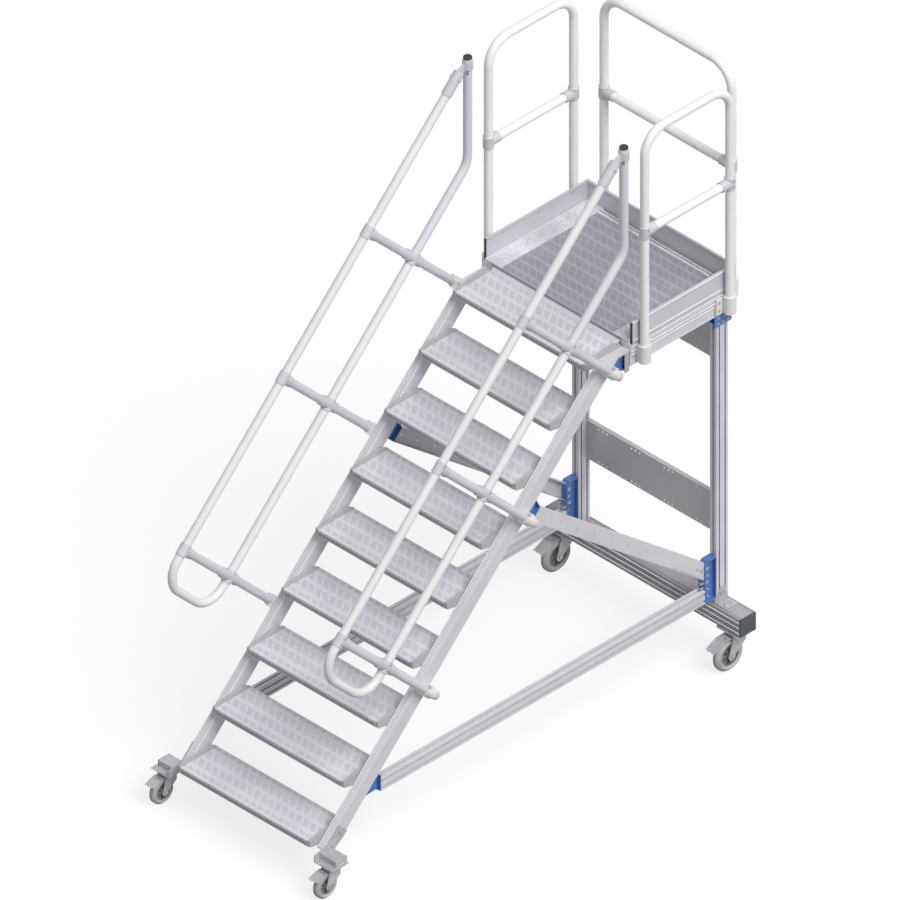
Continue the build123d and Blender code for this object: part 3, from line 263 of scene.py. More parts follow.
wears = {
    "uprightAluminium": ["rear_posts"],
    "railAluminium": ["lower_side_beams", "platform_side_beams"],
    "toeAluminium": ["toe_boards"],
    "plateAluminium": ["cross_plates"],
    "crossAluminium": ["platform_end_beams"],
    "beamAluminium": ["base_beam"],
    "braceAluminium": ["diagonal_braces"],
    "slopedAluminium": ["stringer_right", "stringer_left", "stringer_caps"],
    "treadAluminium": ["treads"],
    "deckAluminium": ["platform_deck"],
    "castAluminium": ["tread_end_plates"],
    "clampAluminium": ["stringer_clamps", "guard_clamps"],
    "jointLacquer": ["guard_joints", "handrail_joints", "handrail_adjusters"],
    "drawnTube": ["handrail_brackets_right", "handrail_brackets_left"],
    "whitePowderCoat": ["guard_rail_right", "guard_rail_left", "guard_rail_back", "guard_mid_rails"],
    "handrailCoat": ["handrail_right", "handrail_left"],
    "bluePowderCoat": ["base_gussets", "sill_brackets", "brace_seats", "post_heads", "platform_seats"],
    "zincSteel": ["foot_gussets", "castor_seats", "castor_plates"],
    "slateNylon": ["base_end_caps"],
    "blackNylon": ["handrail_plugs", "toe_board_caps"],
}
corners = ["front_left", "front_right", "rear_left", "rear_right"]
for corner in corners:
    wears["zincSteel"] += ["fork_" + corner, "pedal_" + corner]
    wears.setdefault("boltZinc", []).append("axle_" + corner)
    wears.setdefault("hubPolypropylene", []).append("hub_" + corner)
    wears.setdefault("greyRubber", []).append("tyre_" + corner)
for name, wearers in wears.items():
    for wearer in wearers:
        nodes[wearer].data.materials.clear()
        nodes[wearer].data.materials.append(finish[name])
print("finishes made", len(finish))

# Camera: the photograph is a parallel view with equal foreshortening on all three axes
photoView = dict(azimuth=45.0, elevation=35.264, target=(-0.228, 0.2169, 1.226), width=3.817, distance=9.0,
                 far=60)


def makeCamera(look):
    turn = math.radians(look["azimuth"])
    lift = math.radians(look["elevation"])
    away = Vector((math.sin(turn) * math.cos(lift), -math.cos(turn) * math.cos(lift), math.sin(lift)))
    lens = bpy.data.cameras.new("photoCamera")
    lens.type = "ORTHO"
    lens.ortho_scale = look["width"]
    lens.clip_end = look["far"]
    camera = bpy.data.objects.new("photoCamera", lens)
    camera.location = Vector(look["target"]) + away * look["distance"]
    camera.rotation_euler = (-away).to_track_quat("-Z", "Y").to_euler()
    bpy.context.scene.collection.objects.link(camera)
    bpy.context.scene.camera = camera


makeCamera(photoView)

# Studio: pale floor, one broad key from above and the right, soft fill from all round
studio = dict(floorHalf=14.0, floorColour="#7C7C7C", floorGlow=0.8, keyFrom=(0.62, -0.04, 0.78),
              keyPower=2.6, keyAngle=36.0, fillColour="#F6F6FA", fillPower=0.40)


def addDirectRays(tree):
    # 1 for what the camera sees, plainly, in a reflection or through something; 0 for the light on the object
    ray = addNode(tree, "ShaderNodeLightPath")
    direct = addNode(tree, "ShaderNodeMath", {"operation": "MAXIMUM"},
                     links=[(0, ray, "Is Camera Ray"), (1, ray, "Is Glossy Ray")])
    return addNode(tree, "ShaderNodeMath", {"operation": "MAXIMUM"},
                   links=[(0, direct, "Value"), (1, ray, "Is Transmission Ray")])


def makeStudio(look):
    mesh = bpy.data.meshes.new("studio_floor")
    half = look["floorHalf"]
    mesh.from_pydata([(-half, -half, 0), (half, -half, 0), (half, half, 0), (-half, half, 0)], [],
                     [(0, 1, 2, 3)])
    floor = bpy.data.objects.new("studio_floor", mesh)
    bpy.context.scene.collection.objects.link(floor)
    material = bpy.data.materials.new("studioFloor")
    material.use_nodes = True
    tree = material.node_tree
    tree.nodes.clear()
    lit = addNode(tree, "ShaderNodeMath", {"operation": "MULTIPLY"}, {1: look["floorGlow"]},
                  [(0, addDirectRays(tree), "Value")])
    matt = addNode(tree, "ShaderNodeBsdfDiffuse", inputs={"Color": fromHex(look["floorColour"])})
    glow = addNode(tree, "ShaderNodeEmission", links=[("Strength", lit, "Value")])
    both = addNode(tree, "ShaderNodeAddShader", links=[(0, matt, "BSDF"), (1, glow, "Emission")])
    addNode(tree, "ShaderNodeOutputMaterial", links=[("Surface", both, "Shader")])
    mesh.materials.append(material)
    floor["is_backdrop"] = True

    world = bpy.data.worlds.new("studioWorld")
    bpy.context.scene.world = world
    world.use_nodes = True
    tree = world.node_tree
    tree.nodes.clear()
    fill = addNode(tree, "ShaderNodeBackground",
                   inputs={"Color": fromHex(look["fillColour"]), "Strength": look["fillPower"]})
    white = addNode(tree, "ShaderNodeBackground", inputs={"Color": (1, 1, 1, 1), "Strength": 1.0})
    both = addNode(tree, "ShaderNodeMixShader",
                   links=[(0, addDirectRays(tree), "Value"), (1, fill, "Background"),
                          (2, white, "Background")])
    addNode(tree, "ShaderNodeOutputWorld", links=[("Surface", both, "Shader")])

    key = bpy.data.lights.new("keyLight", "SUN")
    key.energy = look["keyPower"]
    key.angle = math.radians(look["keyAngle"])
    lamp = bpy.data.objects.new("keyLight", key)
    lamp.rotation_euler = Vector(look["keyFrom"]).to_track_quat("Z", "Y").to_euler()
    bpy.context.scene.collection.objects.link(lamp)
    bpy.context.scene.view_settings.view_transform = "Standard"


makeStudio(studio)
print("camera and studio ready")


def newTree(name, sockets):
    # sockets are (label, kind, default); what comes in is the points, or the rows made so far
    tree = bpy.data.node_groups.new(name, "GeometryNodeTree")
    tree.interface.new_socket(name="Geometry", in_out="INPUT", socket_type="NodeSocketGeometry")
    for label, kind, value in sockets:
        socket = tree.interface.new_socket(name=label, in_out="INPUT", socket_type="NodeSocket" + kind)
        if value is not None:
            socket.default_value = value
    tree.interface.new_socket(name="Geometry", in_out="OUTPUT", socket_type="NodeSocketGeometry")
    return tree


def addFacing(tree):
    # turns each piece to face the way its point says
    way = addNode(tree, "GeometryNodeInputNamedAttribute", {"data_type": "FLOAT_VECTOR"},
                  {"Name": "facing"})
    return addNode(tree, "FunctionNodeAlignRotationToVector", {"axis": "Z"},
                   links=[("Vector", way, "Attribute")])


def addPaint(tree, given, placed):
    # makes the pieces real and gives them the tree's material
    plain = addNode(tree, "GeometryNodeRealizeInstances", links=[("Geometry", placed, "Instances")])
    return addNode(tree, "GeometryNodeSetMaterial",
                   links=[("Geometry", plain, "Geometry"), ("Material", given, "Material")])


def runTrees(name, steps, points=()):
    # steps are (tree, values of its named inputs); points are dictionaries of at and facing, and of along
    # and span for a bar or size for a bolt
    mesh = bpy.data.meshes.new(name + "Points")
    mesh.from_pydata([tuple(point["at"]) for point in points], [], [])
    for key, kind in (("facing", "FLOAT_VECTOR"), ("along", "FLOAT_VECTOR"), ("span", "FLOAT_VECTOR"),
                      ("size", "FLOAT")):
        if points and key in points[0]:
            layer = mesh.attributes.new(key, kind, "POINT")
            if kind == "FLOAT":
                layer.data.foreach_set("value", [point[key] for point in points])
            else:
                layer.data.foreach_set("vector", [value for point in points for value in point[key]])
    maker = bpy.data.objects.new(name + "Maker", mesh)
    bpy.context.scene.collection.objects.link(maker)
    for tree, values in steps:
        modifier = maker.modifiers.new(tree.name, "NODES")
        modifier.node_group = tree
        for item in tree.interface.items_tree:
            if item.item_type == "SOCKET" and item.in_out == "INPUT" and item.name in values:
                modifier[item.identifier] = values[item.name]
    graph = bpy.context.evaluated_depsgraph_get()
    made = bpy.data.meshes.new_from_object(maker.evaluated_get(graph))
    maker.modifiers.clear()
    bpy.data.objects.remove(maker)
    piece = bpy.data.objects.new(name, made)
    bpy.context.scene.collection.objects.link(piece)
    return piece


def finishPiece(piece, body):
    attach(piece, body)
    print(piece.name, len(piece.data.polygons), "faces")
    return piece


outward = Vector((1, 0, 0))
upward = Vector((0, 0, 1))
frontward = Vector((0, -1, 0))
backward = Vector((0, 1, 0))

tubeRadius = 0.020  # of the rails, in metres like every size from here on

# Where the climb runs, read from the treads themselves
climb = dict(count=9, rise=0.206, going=0.206)
treadLow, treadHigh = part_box("treads")
firstNosing = Vector((0, treadLow.y, treadHigh.z - (climb["count"] - 1) * climb["rise"]))
upSlope = Vector((0, math.cos(climbAngle), math.sin(climbAngle)))
squareOut = Vector((0, -math.sin(climbAngle), math.cos(climbAngle)))


def onSlope(x, along, out):
    # along the nosing line and square out from it
    return Vector((x, firstNosing.y, firstNosing.z)) + upSlope * along + squareOut * out


def bothSides(points):
    # the same again on the left, mirrored
    flip = Vector((-1, 1, 1))
    keys = ("at", "facing", "along")
    return points + [{key: (value * flip if key in keys else value) for key, value in point.items()}
                     for point in points]


# Rows of raised pads, pressed into the planks in a leaning check
def padRowTree():
    tree = newTree("padRow", [
        ("Pads", "Int", 18), ("Pitch", "Float", 0.0417), ("Start", "Vector", None),
        ("Width", "Float", 0.031), ("Length", "Float", 0.046), ("Lean", "Float", -0.7),
        ("Height", "Float", 0.0006), ("Taper", "Float", 0.9), ("Planks", "Int", 9),
        ("Plank Step", "Vector", None), ("Material", "Material", None)])
    given = addNode(tree, "NodeGroupInput")
    slab = addNode(tree, "GeometryNodeMeshGrid", inputs={"Vertices X": 2, "Vertices Y": 2},
                   links=[("Size X", given, "Width"), ("Size Y", given, "Length")])
    spot = addNode(tree, "GeometryNodeInputPosition")
    parts = addNode(tree, "ShaderNodeSeparateXYZ", links=[("Vector", spot, "Position")])
    push = addNode(tree, "ShaderNodeMath", {"operation": "MULTIPLY"},
                   links=[(0, parts, "Y"), (1, given, "Lean")])
    aside = addNode(tree, "ShaderNodeCombineXYZ", links=[("X", push, "Value")])
    leaning = addNode(tree, "GeometryNodeSetPosition", links=[("Geometry", slab, "Mesh"),
                                                              ("Offset", aside, "Vector")])
    raised = addNode(tree, "GeometryNodeExtrudeMesh",
                     links=[("Mesh", leaning, "Geometry"), ("Offset Scale", given, "Height")])
    pressed = addNode(tree, "GeometryNodeScaleElements",
                      links=[("Geometry", raised, "Mesh"), ("Selection", raised, "Top"),
                             ("Scale", given, "Taper")])
    across = addNode(tree, "ShaderNodeCombineXYZ", links=[("X", given, "Pitch")])
    row = addNode(tree, "GeometryNodeMeshLine", {"mode": "OFFSET"},
                  links=[("Count", given, "Pads"), ("Start Location", given, "Start"),
                         ("Offset", across, "Vector")])
    pads = addNode(tree, "GeometryNodeInstanceOnPoints",
                   links=[("Points", row, "Mesh"), ("Instance", pressed, "Geometry")])
    flight = addNode(tree, "GeometryNodeMeshLine", {"mode": "OFFSET"},
                     links=[("Count", given, "Planks"), ("Offset", given, "Plank Step")])
    rows = addNode(tree, "GeometryNodeInstanceOnPoints",
                   links=[("Points", flight, "Mesh"), ("Instance", pads, "Instances")])
    both = addNode(tree, "GeometryNodeJoinGeometry",
                   links=[("Geometry", addPaint(tree, given, rows), "Geometry"),
                          ("Geometry", given, "Geometry")])
    addNode(tree, "NodeGroupOutput", links=[("Geometry", both, "Geometry")])
    return tree


padRow = padRowTree()


def gripRows(grip, corner, planks, step, material):
    # corner is the middle of the first plank's front edge; rows are (middle from that edge, length, phase)
    # each row runs past both ends of the plank, where trimSides cuts it
    rows = []
    for middle, length, phase in grip["rows"]:
        reach = grip["half"] + (grip["width"] + abs(grip["lean"]) * length) / 2
        first = math.ceil(-reach / grip["pitch"] - phase)
        last = math.floor(reach / grip["pitch"] - phase)
        rows.append((padRow, {
            "Pads": last - first + 1, "Pitch": grip["pitch"], "Width": grip["width"], "Length": length,
            "Lean": grip["lean"], "Height": grip["height"], "Taper": grip["taper"], "Planks": planks,
            "Plank Step": tuple(step), "Material": material,
            "Start": ((first + phase) * grip["pitch"], corner.y + middle, corner.z)}))
    return rows


def trimSides(piece, half):
    # cuts the pads off at both ends of the plank
    solid = bmesh.new()
    solid.from_mesh(piece.data)
    for way in (1, -1):
        bmesh.ops.bisect_plane(solid, geom=list(solid.verts) + list(solid.edges) + list(solid.faces),
                               plane_co=(way * half, 0, 0), plane_no=(way, 0, 0), clear_outer=True)
    solid.to_mesh(piece.data)
    solid.free()
    return piece


treadGrip = dict(pitch=0.0417, width=0.030, lean=-0.7, height=0.0007, taper=0.92, half=0.378,
                 rows=[(0.028, 0.022, 0.71), (0.088, 0.046, 0.82), (0.154, 0.046, 0.38),
                       (0.207, 0.020, 0.48)])
treadRows = gripRows(treadGrip, firstNosing, climb["count"], (0, climb["going"], climb["rise"]),
                     finish["gripAluminium"])
finishPiece(trimSides(runTrees("tread_grips", treadRows), treadGrip["half"]), "frame")

# The deck is three planks with the same check, leaning further
deckLow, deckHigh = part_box("platform_deck")
deckGrip = dict(treadGrip, planks=3, lean=-1.0, width=0.034, half=0.333,
                rows=[(0.022, 0.027, 0.28), (0.073, 0.042, 0.82), (0.130, 0.042, 0.26),
                      (0.178, 0.022, 0.78)])
plankDepth = (deckHigh.y - deckLow.y) / deckGrip["planks"]
deckRows = gripRows(deckGrip, Vector((0, deckLow.y, deckHigh.z)), deckGrip["planks"], (0, plankDepth, 0),
                    finish["deckGrip"])
finishPiece(trimSides(runTrees("deck_grips", deckRows), deckGrip["half"]), "frame")


# Chamfered bars: each point says which way the bar faces, which way it runs, and its length, width and height
def barTree():
    tree = newTree("chamferedBars", [("Taper", "Float", 0.7), ("Material", "Material", None)])
    given = addNode(tree, "NodeGroupInput")
    slab = addNode(tree, "GeometryNodeMeshGrid", inputs={"Size X": 1.0, "Size Y": 1.0, "Vertices X": 2,
                                                         "Vertices Y": 2})
    raised = addNode(tree, "GeometryNodeExtrudeMesh", inputs={"Offset Scale": 1.0},
                     links=[("Mesh", slab, "Mesh")])
    narrow = addNode(tree, "ShaderNodeCombineXYZ", inputs={"X": 1.0, "Z": 1.0},
                     links=[("Y", given, "Taper")])
    top = addNode(tree, "ShaderNodeVectorMath", {"operation": "MULTIPLY"},
                  links=[(0, addNode(tree, "GeometryNodeInputPosition"), "Position"),
                         (1, narrow, "Vector")])
    shaped = addNode(tree, "GeometryNodeSetPosition",
                     links=[("Geometry", raised, "Mesh"), ("Selection", raised, "Top"),
                            ("Position", top, "Vector")])
    read = {name: addNode(tree, "GeometryNodeInputNamedAttribute", {"data_type": "FLOAT_VECTOR"},
                          inputs={"Name": name}) for name in ("along", "span")}
    turned = addNode(tree, "FunctionNodeAlignRotationToVector", {"axis": "X", "pivot_axis": "Z"},
                     links=[("Rotation", addFacing(tree), "Rotation"),
                            ("Vector", read["along"], "Attribute")])
    placed = addNode(tree, "GeometryNodeInstanceOnPoints",
                     links=[("Points", given, "Geometry"), ("Instance", shaped, "Geometry"),
                            ("Rotation", turned, "Rotation"), ("Scale", read["span"], "Attribute")])
    addNode(tree, "NodeGroupOutput", links=[("Geometry", addPaint(tree, given, placed), "Geometry")])
    return tree


bars = barTree()


def makeBars(name, points, taper, material, body):
    return finishPiece(runTrees(name, [(bars, {"Taper": taper, "Material": finish[material]})], points),
                       body)


# Pale strips round the deck: a broad one beside each toe board and two narrow ones with a gap along the back
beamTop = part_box("platform_side_beams")[1].z
toeLow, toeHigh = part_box("toe_boards")
border = dict(inner=0.335, outer=0.422, proud=0.0012, back=(0.015, 0.009), gap=0.006, lip=0.0008, end=0.010,
              taper=0.97)
borderHeight = deckHigh.z + border["proud"] - beamTop
sideLength = toeHigh.y - border["end"] - deckLow.y - 2 * border["lip"]
sideMiddle = deckLow.y + border["lip"] + sideLength / 2
strips = []
for side in (1, -1):
    at = Vector((side * (border["inner"] + border["outer"]) / 2, sideMiddle, beamTop))
    strips.append(dict(at=at, facing=upward, along=backward,
                       span=(sideLength, border["outer"] - border["inner"], borderHeight)))
reach = deckHigh.y + border["lip"]
for width in border["back"]:
    strips.append(dict(at=Vector((0, reach + width / 2, beamTop)), facing=upward, along=outward,
                       span=(2 * border["inner"] - border["lip"], width, borderHeight)))
    reach += width + border["gap"]
makeBars("deck_borders", strips, border["taper"], "speckledAluminium", "frame")

# Along the deck's front a pale ramp, below the dark nosing
ramp = dict(half=0.38, width=0.0215, proud=0.0016, drop=0.0235, lead=0.0075, taper=0.9)
rampMiddle = Vector((0, deckLow.y - ramp["lead"], deckHigh.z - ramp["drop"]))
makeBars("deck_ramp", [dict(at=rampMiddle, facing=frontward + upward, along=outward,
                            span=(2 * ramp["half"], ramp["width"], ramp["proud"]))],
         ramp["taper"], "treadAluminium", "frame")

# A pale lip at the foot of each toe board, a painted highlight along its lower edge
lip = dict(aside=0.0055, width=0.0105, over=0.003, taper=0.6)
lips = []
for side in (1, -1):
    at = Vector((side * (border["outer"] + lip["aside"]), sideMiddle, beamTop))
    lips.append(dict(at=at, facing=upward, along=backward,
                     span=(sideLength, lip["width"], borderHeight + lip["over"])))
makeBars("deck_lips", lips, lip["taper"], "paintedHighlightAluminium", "frame")

# The nosing itself, flat on the deck's front face
deckNose = dict(rise=0.013, proud=0.0006, below=0.0003, taper=0.95)
noseMiddle = Vector((0, deckLow.y, deckHigh.z - deckNose["below"] - deckNose["rise"] / 2))
makeBars("deck_nosing", [dict(at=noseMiddle, facing=frontward, along=outward,
                              span=(2 * deckHigh.x, deckNose["rise"], deckNose["proud"]))],
         deckNose["taper"], "deckGrip", "frame")

# Nosing strip over each tread's front face, with teeth along its upper edge
nosing = dict(pitch=0.0139, half=0.376, tooth=0.0075, toothRise=0.009, toothProud=0.0024, toothTaper=0.6,
              stripRise=0.027, stripProud=0.0012, stripTaper=0.9, below=0.0004)
strips = []
teeth = []
toothCount = int(2 * nosing["half"] / nosing["pitch"])
for step in range(climb["count"]):
    front = firstNosing + Vector((0, climb["going"], climb["rise"])) * step
    middle = front - upward * (nosing["below"] + nosing["stripRise"] / 2)
    strips.append(dict(at=middle, facing=frontward, along=outward,
                       span=(2 * nosing["half"], nosing["stripRise"], nosing["stripProud"])))
    for tooth in range(toothCount):
        at = front + outward * nosing["pitch"] * (tooth - (toothCount - 1) / 2)
        at += frontward * nosing["stripProud"] - upward * (nosing["below"] + nosing["toothRise"] / 2)
        teeth.append(dict(at=at, facing=frontward, along=upward,
                          span=(nosing["toothRise"], nosing["tooth"], nosing["toothProud"])))
makeBars("tread_nosings", strips, nosing["stripTaper"], "nosingAluminium", "frame")
makeBars("tread_nosing_teeth", teeth, nosing["toothTaper"], "toothAluminium", "frame")

# Ridges of the base beam's front and rear faces, drawn pale as painted highlights
ridge = dict(shares=(0.20, 0.50, 0.80), wide=0.009, proud=0.0042, short=0.004, taper=0.05)
beamLow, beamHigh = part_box("base_beam")
ridges = []
for share in ridge["shares"]:
    level = beamLow.z + (beamHigh.z - beamLow.z) * share
    for face, way in ((beamLow.y, frontward), (beamHigh.y, backward)):
        ridges.append(dict(at=Vector((0, face, level)), facing=way, along=outward,
                           span=(beamHigh.x - beamLow.x - ridge["short"], ridge["wide"], ridge["proud"])))
makeBars("base_beam_ridges", ridges, ridge["taper"], "paintedHighlightAluminium", "frame")

# Fine ridges rolled along the platform's sides and back and along the top of each stringer, drawn pale as
# painted highlights
# levels are heights above the floor
fineRidge = dict(toeLevels=(1.915, 2.003), beamLevels=(1.885, 1.859, 1.842), wide=0.006, proud=0.0030,
                 short=0.012, back=0.72, taper=0.3)
sideBeamLow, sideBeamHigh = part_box("platform_side_beams")
fine = []
for levels, low, high in ((fineRidge["toeLevels"], toeLow, toeHigh),
                          (fineRidge["beamLevels"], sideBeamLow, sideBeamHigh)):
    for level in levels:
        span = (high.y - low.y - fineRidge["short"], fineRidge["wide"], fineRidge["proud"])
        for side in (1, -1):
            fine.append(dict(at=Vector((side * high.x, (low.y + high.y) / 2, level)), facing=outward * side,
                             along=backward, span=span))
        fine.append(dict(at=Vector((0, high.y, level)), facing=backward, along=outward,
                         span=(fineRidge["back"], fineRidge["wide"], fineRidge["proud"])))
climbRidge = dict(drop=0.063, places=(0.400, 0.411, 0.423), first=0.004, last=2.352, wide=0.0045,
                  proud=0.0014)
for x in climbRidge["places"]:
    for side in (1, -1):
        middle = onSlope(side * x, (climbRidge["first"] + climbRidge["last"]) / 2, -climbRidge["drop"])
        fine.append(dict(at=middle, facing=squareOut, along=upSlope,
                         span=(climbRidge["last"] - climbRidge["first"], climbRidge["wide"],
                               climbRidge["proud"])))
makeBars("fine_ridges", fine, fineRidge["taper"], "paintedHighlightAluminium", "frame")

# Cover plates over the corner of each platform seat
seatLow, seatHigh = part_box("platform_seats")
cover = dict(wide=0.028, thick=0.003, taper=0.9)
covers = []
for side in (1, -1):
    at = Vector((side * seatHigh.x, seatHigh.y - cover["wide"] / 2, (seatLow.z + seatHigh.z) / 2))
    covers.append(dict(at=at, facing=outward * side, along=upward,
                       span=(seatHigh.z - seatLow.z, cover["wide"], cover["thick"])))
makeBars("seat_covers", covers, cover["taper"], "castAluminium", "frame")
print("deck strips, nosings, ridges and covers made")


# Bolt heads: a washer, a hexagon and its chamfer, set on points that say which way they face
def boltTree():
    tree = newTree("boltHeads", [
        ("Sides", "Int", 6), ("Head Radius", "Float", 0.0075), ("Head Height", "Float", 0.0053),
        ("Crown", "Float", 0.8), ("Chamfer", "Float", 0.001), ("Washer Sides", "Int", 16),
        ("Washer Radius", "Float", 0.009), ("Washer Height", "Float", 0.0016),
        ("Material", "Material", None)])
    given = addNode(tree, "NodeGroupInput")
    washer = addNode(tree, "GeometryNodeMeshCylinder",
                     links=[("Vertices", given, "Washer Sides"), ("Radius", given, "Washer Radius"),
                            ("Depth", given, "Washer Height")])
    head = addNode(tree, "GeometryNodeMeshCylinder",
                   links=[("Vertices", given, "Sides"), ("Radius", given, "Head Radius"),
                          ("Depth", given, "Head Height")])
    halfHead = addNode(tree, "ShaderNodeMath", {"operation": "DIVIDE"}, {1: 2}, [(0, given, "Head Height")])
    headLift = addNode(tree, "ShaderNodeCombineXYZ", links=[("Z", halfHead, "Value")])
    headUp = addNode(tree, "GeometryNodeTransform", links=[("Geometry", head, "Mesh"),
                                                           ("Translation", headLift, "Vector")])
    topRadius = addNode(tree, "ShaderNodeMath", {"operation": "MULTIPLY"},
                        links=[(0, given, "Head Radius"), (1, given, "Crown")])
    crown = addNode(tree, "GeometryNodeMeshCone",
                    links=[("Vertices", given, "Sides"), ("Radius Bottom", given, "Head Radius"),
                           ("Radius Top", topRadius, "Value"), ("Depth", given, "Chamfer")])
    crownLift = addNode(tree, "ShaderNodeCombineXYZ", links=[("Z", given, "Head Height")])
    crownUp = addNode(tree, "GeometryNodeTransform", links=[("Geometry", crown, "Mesh"),
                                                            ("Translation", crownLift, "Vector")])
    bolt = addNode(tree, "GeometryNodeJoinGeometry",
                   links=[("Geometry", washer, "Mesh"), ("Geometry", headUp, "Geometry"),
                          ("Geometry", crownUp, "Geometry")])
    size = addNode(tree, "GeometryNodeInputNamedAttribute", {"data_type": "FLOAT"}, inputs={"Name": "size"})
    placed = addNode(tree, "GeometryNodeInstanceOnPoints",
                     links=[("Points", given, "Geometry"), ("Instance", bolt, "Geometry"),
                            ("Rotation", addFacing(tree), "Rotation"), ("Scale", size, "Attribute")])
    addNode(tree, "NodeGroupOutput", links=[("Geometry", addPaint(tree, given, placed), "Geometry")])
    return tree


boltHeads = boltTree()


def makeBolts(name, points, material, sizes=None):
    # sizes are inputs of the tree that differ from its own
    values = dict(sizes or {}, Material=finish[material])
    return finishPiece(runTrees(name, [(boltHeads, values)], points), "frame")


# Where the bolts sit on the pieces they hold: on the foot, (aside, up) on its leg and (aside, out) on its toe
boltPlan = dict(footLeg=(0.00875, 0.053), footToe=(0.0175, 0.040), footWall=0.004, seatTab=(0.038, 0.102),
                seatOut=-0.098, seatWall=0.005, large=1.0, middle=0.75, small=0.6)
postLow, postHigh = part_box("rear_posts")
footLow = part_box("foot_gussets")[0]
postY = (postLow.y + postHigh.y) / 2
railOuter = postHigh.x
bolts = []


def addBolt(at, facing, size="middle"):
    bolts.append(dict(at=Vector(at), facing=facing, size=boltPlan[size]))


legAside, legRise = boltPlan["footLeg"]
toeAside, toeOut = boltPlan["footToe"]
for side in (1, -1):
    addBolt((railOuter + boltPlan["footWall"], postY + side * legAside, footLow.z + legRise), outward,
            "large")
    addBolt((railOuter + toeOut, postY + side * toeAside, footLow.z + boltPlan["footWall"]), upward,
            "large")
for along in boltPlan["seatTab"]:
    addBolt(onSlope(railOuter + boltPlan["seatWall"], along, boltPlan["seatOut"]), outward, "large")

# Castor plates are bolted through at their corners; over is the top of the front seats' flange
hubs = {corner: (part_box("hub_" + corner)[0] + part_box("hub_" + corner)[1]) / 2 for corner in corners}
castorPlan = {"front": dict(trail=0.040, under=0.150, over=0.160, holes=(0.040, 0.030)),
              "rear": dict(trail=0.050, under=0.189, over=None, holes=(0.052, 0.037))}
for end, plan in castorPlan.items():
    middle = hubs[end + "_right"] + backward * plan["trail"]
    for sideX in (1, -1):
        for sideY in (1, -1):
            x, y = middle.x + sideX * plan["holes"][0], middle.y + sideY * plan["holes"][1]
            addBolt((x, y, plan["under"]), -upward)
            if plan["over"] and x > middle.x:
                addBolt((x, y, plan["over"]), upward)

# Guard clamps: two screws through each wing
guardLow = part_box("guard_clamps")[0]
guardPlan = dict(wing=0.012, along=0.047, levels=(0.020, 0.060), backStep=0.0085)
sideLow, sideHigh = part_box("guard_rail_right")
backLow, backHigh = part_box("guard_rail_back")
for level in guardPlan["levels"]:
    for tubeY, way in ((sideLow.y + tubeRadius, 1), (sideHigh.y - tubeRadius, -1)):
        addBolt((sideBeamHigh.x + guardPlan["wing"], tubeY + way * guardPlan["along"], guardLow.z + level),
                outward)
    addBolt((backHigh.x - tubeRadius - guardPlan["along"],
             backLow.y - guardPlan["backStep"] + guardPlan["wing"], guardLow.z + level), backward)

# Post heads: rows of small bolts on the saddle
headLow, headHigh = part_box("post_heads")
headPlan = dict(insets=(0.024, 0.052, 0.080), rises=(0.014, 0.042))
for inset in headPlan["insets"]:
    for rise in headPlan["rises"]:
        addBolt((headHigh.x, headHigh.y - inset, headLow.z + rise), outward, "small")

# Brace ends, bolted to the base gussets, whose webs are bolted through at their own holes
braceLow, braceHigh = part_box("diagonal_braces")
gussetLow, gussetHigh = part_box("base_gussets")
bracePlan = dict(end=0.046, steps=(0.020, 0.052))
webPlan = dict(inset=0.020, proud=0.002, rows=6, smallRows=(2, 4))
braceEnd = Vector((braceHigh.x, gussetLow.y, braceLow.z + bracePlan["end"]))
braceUp = Vector((0, -math.cos(braceAngle), math.sin(braceAngle)))
braceDown = Vector((0, -math.sin(braceAngle), -math.cos(braceAngle)))
for step in bracePlan["steps"]:
    addBolt(braceEnd + braceUp * step, outward)
webX = railOuter - webPlan["inset"]
rowStep = (gussetHigh.z - gussetLow.z) / webPlan["rows"]
gussetY = (gussetLow.y + gussetHigh.y) / 2
for row in range(webPlan["rows"] - 1):
    addBolt((webX + webPlan["proud"], gussetY, gussetLow.z + rowStep * (row + 1 / 2)), outward,
            "small" if row in webPlan["smallRows"] else "middle")
makeBolts("frame_bolts", bothSides(bolts), "boltZinc")

# Long bolts that stand out of each gusset's front flange, under the brace; places are (aside, rise)
studPlan = dict(places=((0.010, 0.106), (-0.011, 0.090), (0.008, 0.080)),
                sizes={"Head Radius": 0.0048, "Head Height": 0.017, "Washer Radius": 0.008})
studs = []
for aside, rise in studPlan["places"]:
    studs.append(dict(at=Vector((webX + aside, gussetLow.y, gussetLow.z + rise)), facing=frontward,
                      size=1.0))
makeBolts("gusset_studs", bothSides(studs), "boltZinc", studPlan["sizes"])

# Small rivets along the lower edge of each brace, near its foot
edgePlan = dict(count=9, pitch=0.023, first=0.020, drop=0.030, size=0.30,
                sizes={"Sides": 10, "Head Height": 0.0030, "Washer Height": 0.0012})
edgeRivets = []
for step in range(edgePlan["count"]):
    at = braceEnd + braceUp * (edgePlan["first"] + step * edgePlan["pitch"]) + braceDown * edgePlan["drop"]
    edgeRivets.append(dict(at=at, facing=outward, size=edgePlan["size"]))
makeBolts("brace_edge_rivets", bothSides(edgeRivets), "darkSteel", edgePlan["sizes"])

